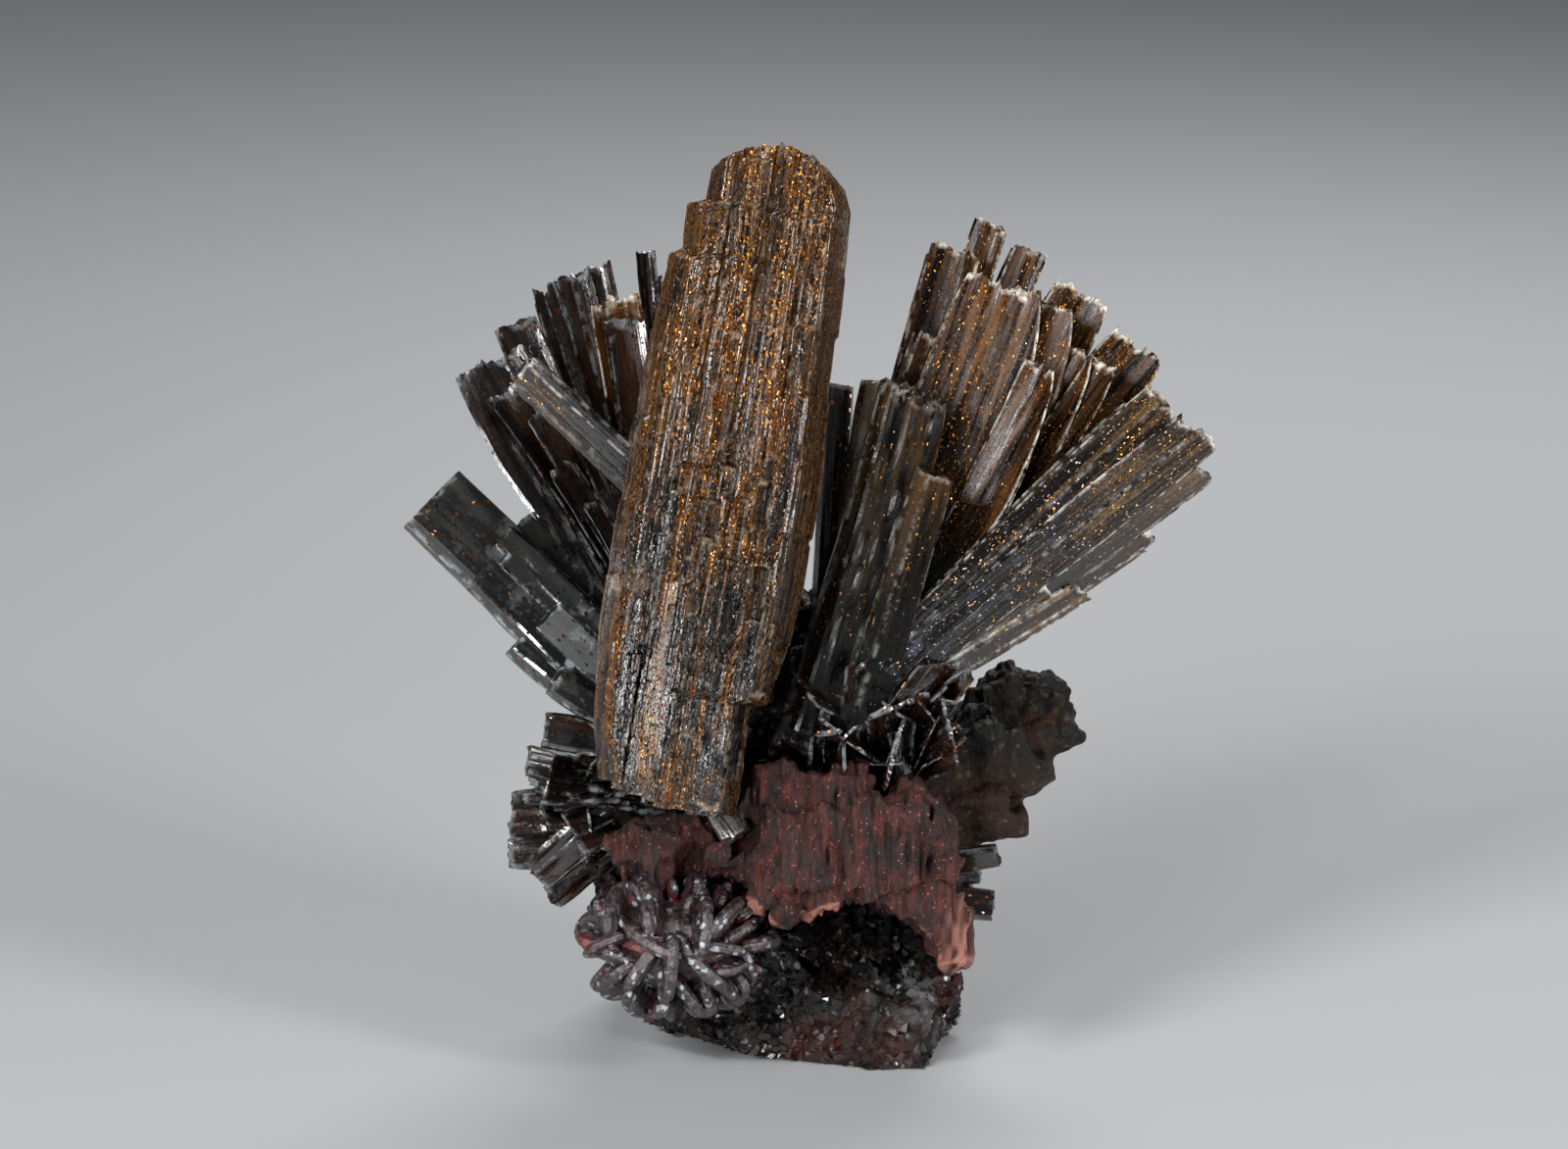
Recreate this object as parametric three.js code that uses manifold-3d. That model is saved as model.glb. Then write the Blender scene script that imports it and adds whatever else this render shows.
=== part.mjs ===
// Goethite: one large doubly ended crystal in front of two fans of striated blades,
// with a stubby prism, small plates and a rosette of tablets, all grown on an iron-oxide matrix.
// Millimetres, +Z up. The matrix stands on its flat broken underside at Z = 0; the front faces -Y.

import * as THREE from 'three';
import { ConvexGeometry } from 'three/addons/geometries/ConvexGeometry.js';
import { mergeVertices } from 'three/addons/utils/BufferGeometryUtils.js';
import Module from 'manifold-3d';

const wasm = await Module();
wasm.setup();

// Driving dimensions
const leanBack = THREE.MathUtils.degToRad(15); // the whole spray leans back from upright
const pieceGap = 0.28; // clearance left where one piece is cut around another
const mainLength = 27.4; // the large crystal, end to end
const mainThick = 4.6;
const mainHalfWidth = 3.9;
const mainBevel = 1.1; // how far its long edges are bevelled
const mainRidges = 9;
const widestAt = 0.62; // share of a blade's length at which it reaches its full width
const footShare = 0.75; // a blade's foot width over its full width, where nothing else is given
const ridgeShare = 0.09; // depth of a growth ridge over the blade's thickness
const ridgeMost = 0.14;
const matrixReach = 60; // longer than anything, for the cut at the underside
const spare = 2; // cutting shapes reach this far past what they cut

// A repeatable stream of numbers from 0 to 1.
function stream(seed) {
  let state = seed >>> 0;
  return () => {
    state = (Math.imul(state, 1664525) + 1013904223) >>> 0;
    return state / 4294967296;
  };
}

function within([low, high], random) {
  return low + (high - low) * random();
}

// A point given as seen from the front: right, up along the lean, out towards the viewer.
function leaned([right, up, out]) {
  return new THREE.Vector3(
    right,
    up * Math.sin(leanBack) - out * Math.cos(leanBack),
    up * Math.cos(leanBack) + out * Math.sin(leanBack),
  );
}

// Turns a crystal's own frame (x across, y into the depth, z from foot to tip) into the part's frame.
function poseBetween(foot, tip, rollDegrees = 0) {
  const start = leaned(foot);
  const along = leaned(tip).sub(start).normalize();
  const viewer = leaned([0, 0, 1]);
  const facing = viewer.clone().addScaledVector(along, -viewer.dot(along)).normalize();
  facing.applyAxisAngle(along, THREE.MathUtils.degToRad(rollDegrees));
  const depth = facing.clone().negate();
  const across = new THREE.Vector3().crossVectors(depth, along);
  return new THREE.Matrix4().makeBasis(across, depth, along).setPosition(start);
}

function toSolid(geometry, matrix) {
  const bare = geometry.index ? geometry.toNonIndexed() : geometry.clone();
  const positions = new THREE.BufferGeometry().setAttribute('position', bare.getAttribute('position'));
  if (matrix) positions.applyMatrix4(matrix);
  const merged = mergeVertices(positions, 1e-4);
  return new wasm.Manifold(new wasm.Mesh({
    numProp: 3,
    vertProperties: merged.attributes.position.array,
    triVerts: new Uint32Array(merged.index.array),
  }));
}

function toGeometry(solid) {
  const { numProp, numVert, vertProperties, triVerts } = solid.getMesh();
  const positions = new Float32Array(numVert * 3);
  for (let i = 0; i < numVert; i++) {
    positions.set(vertProperties.subarray(i * numProp, i * numProp + 3), i * 3);
  }
  const geometry = new THREE.BufferGeometry();
  geometry.setAttribute('position', new THREE.BufferAttribute(positions, 3));
  geometry.setIndex(new THREE.BufferAttribute(triVerts, 1));
  const flat = geometry.toNonIndexed();
  flat.computeVertexNormals();
  return flat;
}

function joined(solids) {
  return solids.reduce((whole, next) => whole.add(next));
}

// The largest body of a solid, so that a cut leaves no loose chips.
function largestBody(solid) {
  return solid.decompose().reduce((best, body) => (body.volume() > best.volume() ? body : best));
}

function shapeOf(points) {
  return new THREE.Shape(points.map(([x, y]) => new THREE.Vector2(x, y)));
}

// A flat slab with the given outline in x and z, centred on y = 0.
function slab(outline, thick) {
  const geometry = new THREE.ExtrudeGeometry(shapeOf(outline), { depth: thick, bevelEnabled: false });
  geometry.translate(0, 0, -thick / 2);
  geometry.rotateX(Math.PI / 2);
  return geometry;
}

// A straight bar with the given section in x and y, from z = start to z = end.
function bar(section, start, end) {
  const geometry = new THREE.ExtrudeGeometry(shapeOf(section), { depth: end - start, bevelEnabled: false });
  geometry.translate(0, 0, start);
  return geometry;
}

// A blade's section: flat faces with low growth ridges, and bevelled long edges.
function ridgedSection(halfWidth, thick, ridges, bevel) {
  const ridgeDepth = Math.min(ridgeMost, thick * ridgeShare);
  const flatHalf = halfWidth - bevel;
  const points = [[-halfWidth, 0]];
  for (let i = 0; i <= ridges; i++) {
    const step = i % 2 ? ridgeDepth : 0;
    points.push([-flatHalf + (2 * flatHalf * i) / ridges, -thick / 2 + step]);
  }
  points.push([halfWidth, 0]);
  for (let i = ridges; i >= 0; i--) {
    const step = i % 2 ? ridgeDepth : 0;
    points.push([-flatHalf + (2 * flatHalf * i) / ridges, thick / 2 - step]);
  }
  return points;
}

// A blade's face outline: it widens from foot to tip and ends in a flight of growth steps,
// which fall away to the right on a rounded page.
function steppedOutline({ length, footWidth, width, jag, steps, slant, rounded }, random, grow) {
  const half = width / 2 + grow;
  const points = [
    [-footWidth / 2 - grow, -grow],
    [footWidth / 2 + grow, -grow],
    [half, length * widestAt],
  ];
  for (let i = 0; i < steps; i++) {
    const right = half - (2 * half * i) / steps;
    const left = half - (2 * half * (i + 1)) / steps;
    const rightward = Math.max(0, (right + left) / (2 * half));
    const height = length + grow - jag * random() - slant * (i / steps) - rounded * rightward ** 2;
    points.push([right, height]);
    points.push([left, height]);
  }
  points.push([-half, length * widestAt]);
  return points;
}

// One blade or prism, from foot to tip. grow makes it larger all round, for cutting its socket.
function blade(spec, grow = 0) {
  const {
    foot, tip, width, footWidth = width * footShare, thick, roll = 0,
    ridges = 1, bevel = 0.22, jag = 0.5, steps = 2, slant = 0, rounded = 0, seed = 1,
  } = spec;
  const length = leaned(tip).distanceTo(leaned(foot));
  const face = { length, footWidth, width, jag, steps, slant, rounded };
  const outline = steppedOutline(face, stream(seed), grow);
  const section = ridgedSection(Math.max(width, footWidth) / 2 + grow, thick + 2 * grow, ridges, bevel);
  const whole = toSolid(slab(outline, thick + 2 * grow + spare));
  const body = whole.intersect(toSolid(bar(section, -grow - spare, length + grow + spare)));
  return body.transform(poseBetween(foot, tip, roll).elements);
}

function blades(specs, grow = 0) {
  return joined(specs.map((spec) => blade(spec, grow)));
}

// The large crystal's face outline, foot at z = 0, and the growth laths that stand proud of its faces.
const mainFoot = [-4.75, 9.75, 7.0];
const mainTip = [-0.25, 36.5, 6.2];
const mainOutline = [
  [-1.3, 0.3], [0.4, 0.15], [1.4, 0], [2.65, 0.5], [2.75, 2.1], [2.7, 4.8], [3.3, 5.2], [3.7, 7.0],
  [3.9, 9.8], [3.9, 13.8], [3.65, 18.5], [3.5, 22.0], [3.3, 25.0], [2.75, 26.2], [1.6, 27.1],
  [0.2, mainLength], [-1.9, 26.9], [-2.45, 26.0], [-2.45, 24.6], [-3.2, 24.4], [-3.05, 22.5],
  [-3.6, 22.3], [-3.9, 17.6], [-3.85, 10.1], [-3.8, 6.9], [-3.4, 3.0], [-2.85, 0.9], [-2.05, 0.6],
];
// Each lath: left edge, right edge, start, end, and how far it stands proud of the front.
const frontLaths = [
  [-3.65, -2.15, 1.2, 22.1, 0.35], [-2.85, -1.45, 9.0, 24.1, 0.2], [-1.85, -0.5, 0.5, 9.2, 0.42],
  [-1.35, 0.0, 14.3, 26.4, 0.3], [-0.5, 0.7, 3.3, 11.0, 0.18], [0.2, 1.65, 12.9, 26.7, 0.4],
  [0.9, 2.05, 0.6, 11.8, 0.26], [1.55, 2.6, 5.0, 20.0, 0.45], [2.25, 3.4, 5.3, 24.7, 0.24],
  [-2.95, -1.95, 0.9, 6.1, 0.55],
];
const backLaths = [
  [-3.3, -1.55, 3.9, 23.5, 0.4], [-2.15, -0.4, 9.8, 25.9, 0.25], [-0.9, 1.0, 1.2, 18.6, 0.45],
  [0.6, 2.15, 7.8, 26.5, 0.3], [1.65, 3.2, 3.1, 21.1, 0.4],
];
const lathChamfer = 0.35;

function lathOnMain([left, right, start, end, proud], side, grow) {
  const half = (right - left) / 2 + grow;
  const centre = (left + right) / 2;
  const outline = [
    [centre - half, start + lathChamfer], [centre - half + lathChamfer, start], [centre + half, start],
    [centre + half, end - lathChamfer], [centre + half - lathChamfer, end], [centre - half, end],
  ];
  const thick = mainThick / 2 + proud + grow;
  return toSolid(slab(outline, thick).translate(0, (side * thick) / 2, 0));
}

function mainCrystal(grow = 0) {
  const scale = 1 + grow / mainHalfWidth;
  const outline = mainOutline.map(([x, z]) => [x * scale, (z - mainLength / 2) * scale + mainLength / 2]);
  const section = ridgedSection(mainHalfWidth + grow + 0.1, mainThick + 2 * grow, mainRidges, mainBevel);
  const core = toSolid(slab(outline, mainThick * 2)).intersect(toSolid(bar(section, -spare, mainLength + spare)));
  const laths = [
    ...frontLaths.map((lath) => lathOnMain(lath, -1, grow)),
    ...backLaths.map((lath) => lathOnMain(lath, 1, grow)),
  ];
  return joined([core, ...laths]).transform(poseBetween(mainFoot, mainTip).elements);
}

// The right-hand fan: a dark blade in front, a sheaf of brown plates, and the ragged outer blade.
const rightFanFront = [
  {
    foot: [2.2, 14.6, 4.6], tip: [5.4, 27.2, 5.6], width: 3.2, footWidth: 2.9, thick: 2.1,
    roll: -8, ridges: 5, jag: 0.6, steps: 3, seed: 3,
  },
  { foot: [1.9, 14.8, 3.6], tip: [3.8, 27.4, 4.0], width: 1.5, thick: 1.2, roll: -20, seed: 5 },
  {
    foot: [3.3, 15.4, 5.4], tip: [6.2, 23.4, 6.2], width: 1.5, thick: 0.9,
    roll: 6, ridges: 3, jag: 1.2, steps: 3, seed: 8,
  },
];
const rightFanSheaf = [
  {
    foot: [3.2, 16.0, 2.6], tip: [9.6, 31.2, 2.6], width: 4.6, footWidth: 1.9, thick: 0.8,
    roll: -8, ridges: 5, steps: 4, rounded: 1.4, seed: 21,
  },
  {
    foot: [3.4, 15.9, 2.2], tip: [11.4, 30.3, 1.9], width: 4.0, footWidth: 1.7, thick: 0.7,
    roll: -20, ridges: 3, steps: 4, rounded: 1.6, seed: 22,
  },
  {
    foot: [3.6, 15.9, 3.0], tip: [11.1, 27.6, 3.4], width: 2.3, footWidth: 1.3, thick: 0.5,
    roll: -34, ridges: 3, rounded: 1.6, seed: 23,
  },
  {
    foot: [3.5, 15.9, 2.4], tip: [12.6, 28.3, 2.2], width: 3.0, footWidth: 1.4, thick: 0.6,
    roll: -26, ridges: 3, steps: 4, rounded: 1.6, seed: 24,
  },
  {
    foot: [3.6, 15.8, 2.9], tip: [13.6, 27.7, 2.9], width: 2.2, footWidth: 1.3, thick: 0.5,
    roll: -36, steps: 3, rounded: 1.2, seed: 25,
  },
  {
    foot: [2.6, 16.2, 0.8], tip: [7.2, 33.0, 0.0], width: 2.4, footWidth: 1.6, thick: 1.0,
    roll: -14, ridges: 3, jag: 1.4, steps: 3, seed: 11,
  },
  {
    foot: [2.8, 16.4, 0.2], tip: [8.7, 33.9, -0.8], width: 1.6, footWidth: 1.3, thick: 0.9,
    roll: -4, ridges: 3, jag: 0.7, seed: 12,
  },
  {
    foot: [2.7, 16.2, 1.6], tip: [6.6, 29.3, 1.5], width: 2.5, footWidth: 1.6, thick: 0.9,
    roll: -10, ridges: 3, jag: 1.5, steps: 3, seed: 15,
  },
  {
    foot: [3.0, 16.2, 0.0], tip: [10.1, 32.9, -1.3], width: 1.7, footWidth: 1.3, thick: 0.8,
    roll: 8, jag: 0.9, seed: 17,
  },
  {
    foot: [3.4, 15.9, 1.0], tip: [12.3, 30.7, 0.2], width: 3.0, footWidth: 1.5, thick: 0.8,
    roll: -6, ridges: 3, jag: 1.2, steps: 3, slant: -0.9, seed: 31,
  },
  {
    foot: [3.6, 15.8, 1.6], tip: [14.6, 28.5, 1.0], width: 3.0, footWidth: 1.5, thick: 0.8,
    roll: -12, ridges: 3, jag: 1.0, steps: 3, slant: -0.8, seed: 32,
  },
  {
    foot: [3.7, 15.7, 0.6], tip: [15.3, 27.0, -0.3], width: 2.4, footWidth: 1.4, thick: 0.7,
    roll: 4, jag: 0.9, seed: 33,
  },
];
const rightFanOuter = [
  {
    foot: [3.9, 15.6, 4.9], tip: [15.6, 26.4, 4.6], width: 2.5, footWidth: 1.6, thick: 1.3,
    roll: 4, ridges: 3, steps: 3, slant: 0.3, seed: 41,
  },
  {
    foot: [4.2, 15.2, 4.7], tip: [17.2, 25.5, 4.4], width: 2.5, footWidth: 1.7, thick: 1.5,
    roll: 14, ridges: 3, steps: 3, slant: 1.0, seed: 42,
  },
  {
    foot: [4.5, 14.8, 4.1], tip: [17.2, 24.1, 3.9], width: 2.2, footWidth: 1.6, thick: 1.1,
    roll: 22, ridges: 3, jag: 0.7, steps: 3, slant: 1.1, seed: 43,
  },
  {
    foot: [4.7, 14.6, 3.7], tip: [15.4, 21.8, 3.5], width: 2.0, footWidth: 1.5, thick: 0.9,
    roll: 28, jag: 1.3, steps: 4, slant: 1.2, seed: 44,
  },
  {
    foot: [4.7, 14.4, 4.2], tip: [12.7, 19.2, 3.8], width: 1.8, footWidth: 1.4, thick: 0.8,
    roll: 30, jag: 1.3, steps: 4, slant: 1.0, seed: 45,
  },
];

// The left-hand fan behind the large crystal: dark blades at the back, thin plates before them.
const leftFan = [
  {
    foot: [-5.9, 17.0, 1.0], tip: [-12.5, 28.9, 0.0], width: 3.6, footWidth: 1.4, thick: 0.7,
    roll: 8, ridges: 3, jag: 0.7, steps: 4, slant: 1.6, seed: 51,
  },
  { foot: [-5.5, 17.2, 0.6], tip: [-11.2, 29.9, -0.6], width: 2.0, footWidth: 1.1, thick: 0.7, roll: 14, seed: 52 },
  {
    foot: [-5.2, 17.4, 0.5], tip: [-9.8, 31.4, -0.9], width: 1.7, footWidth: 1.0, thick: 0.6,
    roll: 20, jag: 0.9, seed: 53,
  },
  {
    foot: [-5.0, 17.4, 0.9], tip: [-8.7, 31.9, -0.2], width: 1.5, footWidth: 1.0, thick: 0.7,
    roll: 10, jag: 0.8, steps: 3, seed: 54,
  },
  {
    foot: [-4.7, 17.4, 0.5], tip: [-7.7, 32.4, -1.0], width: 1.2, footWidth: 1.0, thick: 0.6,
    roll: -10, jag: 0.7, seed: 55,
  },
  {
    foot: [-4.3, 17.4, 0.8], tip: [-5.7, 32.9, 0.0], width: 1.0, footWidth: 1.0, thick: 0.6,
    roll: 30, jag: 0.6, seed: 56,
  },
  {
    foot: [-5.4, 16.6, 1.9], tip: [-11.7, 26.8, 2.0], width: 1.7, footWidth: 1.0, thick: 0.45,
    roll: 40, ridges: 3, jag: 1.1, steps: 3, seed: 61,
  },
  {
    foot: [-5.3, 16.6, 2.2], tip: [-10.0, 26.2, 2.6], width: 1.8, footWidth: 1.0, thick: 0.45,
    roll: 30, ridges: 3, jag: 0.9, steps: 3, seed: 62,
  },
  {
    foot: [-5.2, 16.4, 2.4], tip: [-9.3, 23.8, 3.3], width: 1.5, footWidth: 0.9, thick: 0.4,
    roll: 44, jag: 0.9, seed: 63,
  },
  {
    foot: [-5.0, 16.6, 1.9], tip: [-8.4, 25.6, 2.0], width: 1.6, footWidth: 0.9, thick: 0.4,
    roll: 26, jag: 0.8, seed: 64,
  },
  {
    foot: [-5.0, 16.4, 2.5], tip: [-8.2, 22.4, 3.5], width: 1.1, footWidth: 0.8, thick: 0.4,
    roll: 50, jag: 0.7, seed: 65,
  },
  {
    foot: [-4.6, 17.4, 1.4], tip: [-7.0, 31.2, 2.2], width: 2.5, footWidth: 1.2, thick: 0.5,
    roll: 26, ridges: 3, jag: 0.8, steps: 3, slant: 0.9, seed: 71,
  },
  {
    foot: [-4.5, 17.4, 1.7], tip: [-6.6, 30.3, 2.7], width: 1.9, footWidth: 1.0, thick: 0.4,
    roll: 18, jag: 0.6, slant: 0.7, seed: 72,
  },
];
const goldBar = [
  {
    foot: [-5.2, 22.6, 3.6], tip: [-10.9, 27.8, 5.0], width: 1.6, footWidth: 1.7, thick: 1.2,
    roll: -12, ridges: 5, jag: 0.4, steps: 3, slant: 0.4, seed: 81,
  },
];

// The stubby lustrous prism on the left, stepped down its lower side.
const leftPrism = [
  {
    foot: [-5.8, 14.2, 2.2], tip: [-14.3, 22.4, 2.4], width: 3.2, footWidth: 3.0, thick: 2.4,
    roll: 18, ridges: 3, bevel: 0.5, jag: 0.25, slant: -0.3, seed: 91,
  },
  {
    foot: [-5.4, 13.6, 3.2], tip: [-12.2, 20.4, 3.2], width: 3.3, footWidth: 3.3, thick: 2.0,
    roll: 12, ridges: 3, bevel: 0.4, steps: 3, slant: 0.6, seed: 92,
  },
  {
    foot: [-5.0, 12.6, 3.0], tip: [-10.6, 17.2, 3.3], width: 2.6, footWidth: 2.6, thick: 1.9,
    roll: 8, bevel: 0.3, seed: 93,
  },
  { foot: [-5.8, 15.6, 1.4], tip: [-11.2, 21.6, 1.6], width: 1.8, thick: 1.0, roll: 26, seed: 94 },
];

// Small dark plates on the left, and the litter of them in the middle.
const leftDarkPlates = [
  {
    foot: [-5.0, 10.4, 1.6], tip: [-10.7, 11.9, 2.4], width: 3.0, footWidth: 2.6, thick: 0.5,
    roll: 72, seed: 101,
  },
  {
    foot: [-5.0, 9.9, 1.8], tip: [-10.4, 11.0, 2.8], width: 3.0, footWidth: 2.4, thick: 0.45,
    roll: 78, seed: 102,
  },
  {
    foot: [-5.0, 9.4, 1.2], tip: [-11.5, 8.9, 1.4], width: 3.4, footWidth: 2.6, thick: 0.7,
    roll: 20, jag: 0.6, steps: 3, seed: 103,
  },
  {
    foot: [-5.2, 10.6, 2.6], tip: [-10.0, 6.6, 2.7], width: 2.6, footWidth: 2.6, thick: 0.6,
    roll: -18, steps: 3, seed: 104,
  },
  {
    foot: [-6.4, 10.2, 2.4], tip: [-10.7, 10.3, 3.0], width: 2.6, footWidth: 2.2, thick: 0.4,
    roll: 88, jag: 0.4, seed: 105,
  },
  { foot: [-5.6, 12.4, 1.8], tip: [-9.9, 13.1, 2.2], width: 1.8, footWidth: 1.8, thick: 0.7, roll: 36, seed: 106 },
];
const middlePlates = [
  { foot: [3.8, 12.4, 3.2], tip: [6.4, 15.9, 5.6], width: 2.8, thick: 0.45, roll: 60, jag: 0.4, seed: 111 },
  { foot: [3.4, 12.2, 3.4], tip: [2.1, 13.0, 6.6], width: 2.6, thick: 0.45, roll: 84, jag: 0.4, seed: 112 },
  { foot: [4.6, 12.4, 3.0], tip: [4.6, 14.4, 6.4], width: 2.8, thick: 0.45, roll: 24, jag: 0.4, seed: 113 },
  { foot: [5.2, 12.0, 2.8], tip: [6.8, 13.2, 6.0], width: 3.0, thick: 0.5, roll: -28, jag: 0.4, seed: 114 },
  { foot: [5.0, 12.6, 2.4], tip: [7.7, 16.1, 4.2], width: 2.4, thick: 0.45, roll: -60, jag: 0.5, seed: 115 },
  { foot: [3.2, 13.2, 3.4], tip: [3.2, 16.2, 6.0], width: 2.2, thick: 0.45, roll: 46, jag: 0.4, seed: 116 },
  { foot: [4.2, 11.6, 3.4], tip: [4.4, 12.0, 6.4], width: 2.4, thick: 0.45, roll: -78, jag: 0.4, seed: 118 },
];
const rightBlock = [
  {
    foot: [4.6, 9.8, 0.4], tip: [10.4, 13.0, 0.8], width: 4.4, footWidth: 4.0, thick: 3.4,
    roll: 10, ridges: 3, bevel: 0.6, jag: 0.9, steps: 3, slant: 0.8, seed: 121,
  },
  {
    foot: [5.6, 10.4, -0.8], tip: [11.6, 14.2, -0.4], width: 3.4, footWidth: 3.2, thick: 2.8,
    roll: -14, ridges: 3, bevel: 0.5, jag: 0.8, steps: 3, slant: -0.6, seed: 122,
  },
  {
    foot: [5.0, 8.8, 1.4], tip: [9.9, 10.0, 1.8], width: 2.8, footWidth: 2.8, thick: 1.6,
    roll: 20, bevel: 0.4, jag: 0.7, slant: 0.8, seed: 123,
  },
  {
    foot: [7.0, 12.4, -0.6], tip: [10.2, 15.5, -0.8], width: 2.2, footWidth: 2.4, thick: 2.2,
    roll: 30, bevel: 0.4, jag: 0.6, steps: 3, seed: 124,
  },
];
const stubCrystals = [
  { foot: [4.4, 7.4, 1.2], tip: [9.0, 8.0, 2.0], width: 1.0, thick: 0.8, roll: 30, jag: 0.3, seed: 131 },
  { foot: [4.4, 6.3, 1.0], tip: [8.7, 5.9, 1.6], width: 1.3, thick: 0.9, roll: -14, jag: 0.25, seed: 132 },
  { foot: [4.4, 7.0, 0.4], tip: [8.2, 7.0, 0.6], width: 1.5, thick: 1.2, roll: 10, jag: 0.4, seed: 133 },
];
const greyBlade = [
  {
    foot: [-3.6, 11.6, 3.6], tip: [-1.6, 8.3, 4.8], width: 1.3, thick: 0.7,
    roll: 14, jag: 0.4, slant: 0.3, seed: 141,
  },
];
const sliverBlade = [
  {
    foot: [1.6, 16.6, 1.4], tip: [2.3, 27.9, 1.4], width: 1.2, footWidth: 1.2, thick: 1.0,
    roll: 8, ridges: 3, jag: 0.7, seed: 151,
  },
];

// A faceted lump: a twenty-sided ball with its corners pushed in and out.
const lumpStretch = [0.82, 1.18];

function lump(centre, radius, random) {
  const ball = new THREE.IcosahedronGeometry(1);
  const corners = new THREE.BufferGeometry().setAttribute('position', ball.getAttribute('position'));
  const spots = mergeVertices(corners, 1e-4).getAttribute('position');
  const moved = [];
  for (let i = 0; i < spots.count; i++) {
    const stretch = radius * within(lumpStretch, random);
    moved.push(new THREE.Vector3().fromBufferAttribute(spots, i).multiplyScalar(stretch).add(centre));
  }
  return toSolid(new ConvexGeometry(moved));
}

// The dark crust: a core that stands on its flat underside and carries the fans, under a skin of lumps.
// Each ring is a height and its outline; the lowest keeps to the small patch that touches the ground.
const crustRings = [
  [0, [
    [-6.0, 4.2], [-4.4, 2.2], [-1.6, -0.8], [1.2, -1.6], [4.0, -2.8], [5.7, -2.6],
    [6.6, 2.0], [6.0, 7.2], [1.6, 9.2], [-3.0, 9.8], [-5.4, 8.2],
  ]],
  [2, [
    [-6.8, 4.0], [-5.0, 0.8], [-1.6, -1.6], [1.6, -2.0], [4.4, -2.6], [5.8, -2.2],
    [7.0, 1.8], [6.6, 7.0], [1.6, 10.4], [-3.4, 9.2], [-6.6, 7.2],
  ]],
  [4.4, [
    [-7.4, 3.4], [-5.4, -0.4], [-1.6, -1.6], [1.0, -0.6], [4.0, -0.2], [5.8, -0.4],
    [6.8, 2.4], [6.4, 6.2], [3.2, 9.8], [-2.0, 9.0], [-6.8, 6.4],
  ]],
  [7.5, [
    [-8.2, 3.2], [-6.4, 0.4], [-2.0, -0.8], [3.0, -0.6], [5.8, -0.6],
    [6.8, 2.2], [5.8, 5.8], [1.0, 8.2], [-3.6, 9.4], [-7.2, 6.4],
  ]],
  [11, [
    [-7.0, 3.4], [-4.8, 0.8], [0, 0.2], [4.8, 0.8], [6.2, 3.4], [5.4, 6.6], [1.4, 9.4], [-5.2, 6.8],
  ]],
  [15, [
    [-6.8, 3.8], [-4.6, 2.0], [0, 1.6], [3.8, 2.0], [4.8, 4.2], [3.2, 7.6], [-0.6, 7.2], [-4.6, 8.2],
  ]],
  [17.8, [
    [-5.8, 4.4], [-4.0, 3.4], [0, 3.2], [3.0, 3.2], [3.6, 5.0], [2.0, 6.4], [-1.6, 6.8], [-4.6, 6.2],
  ]],
];
// Two saddles, as seen from the front (right, up, out): the large crystal lies in one,
// and the front of the right-hand fan grows from the other.
const leftSaddle = [
  [-7.0, 12.4, 1.0], [-0.6, 12.4, 1.0], [-7.0, 18.6, 0.6], [-0.2, 18.6, 0.6],
  [-6.2, 13.0, 5.2], [-1.6, 13.0, 5.2], [-5.6, 17.8, 5.2], [-1.0, 17.8, 5.2],
];
const rightSaddle = [
  [-1.4, 10.8, 1.0], [5.4, 10.6, 1.0], [-0.6, 16.2, 1.0], [5.0, 16.0, 1.0],
  [-0.8, 11.4, 3.9], [4.4, 11.2, 3.6], [0.6, 15.2, 4.6], [4.4, 14.9, 4.2],
];
const crustCentre = [-0.3, 4.2];
// Lumps all round the core, crowded towards its foot, and more of them low on the front.
const skinLumps = { count: 25, lowest: 0.9, highest: 16.3, crowding: 1.25, radius: [0.8, 2.3], sunk: 0.45 };
const footLumps = { count: 11, lowest: 0.8, highest: 6.2, arc: 2.2, radius: [0.9, 1.8], sunk: 0.25 };
const turnJitter = 0.3; // radians
const goldenTurn = 2.39996; // radians between one lump and the next

// How far a ring's outline lies from the centre line in one direction.
function ringReach(outline, turn) {
  const [ux, uy] = [Math.cos(turn), Math.sin(turn)];
  let reach = 0;
  outline.forEach(([x, y], i) => {
    const [nextX, nextY] = outline[(i + 1) % outline.length];
    const [px, py, ex, ey] = [x - crustCentre[0], y - crustCentre[1], nextX - x, nextY - y];
    const cross = ux * ey - uy * ex;
    const along = (px * ey - py * ex) / cross;
    const share = (px * uy - py * ux) / cross;
    if (share >= 0 && share <= 1 && along > reach) reach = along;
  });
  return reach;
}

function onCrust(height, turn) {
  const above = crustRings.findIndex(([ringHeight]) => ringHeight > height);
  const [low, lowOutline] = crustRings[above - 1];
  const [high, highOutline] = crustRings[above];
  const share = (height - low) / (high - low);
  const reach = ringReach(lowOutline, turn) * (1 - share) + ringReach(highOutline, turn) * share;
  return new THREE.Vector3(crustCentre[0] + reach * Math.cos(turn), crustCentre[1] + reach * Math.sin(turn), height);
}

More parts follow.
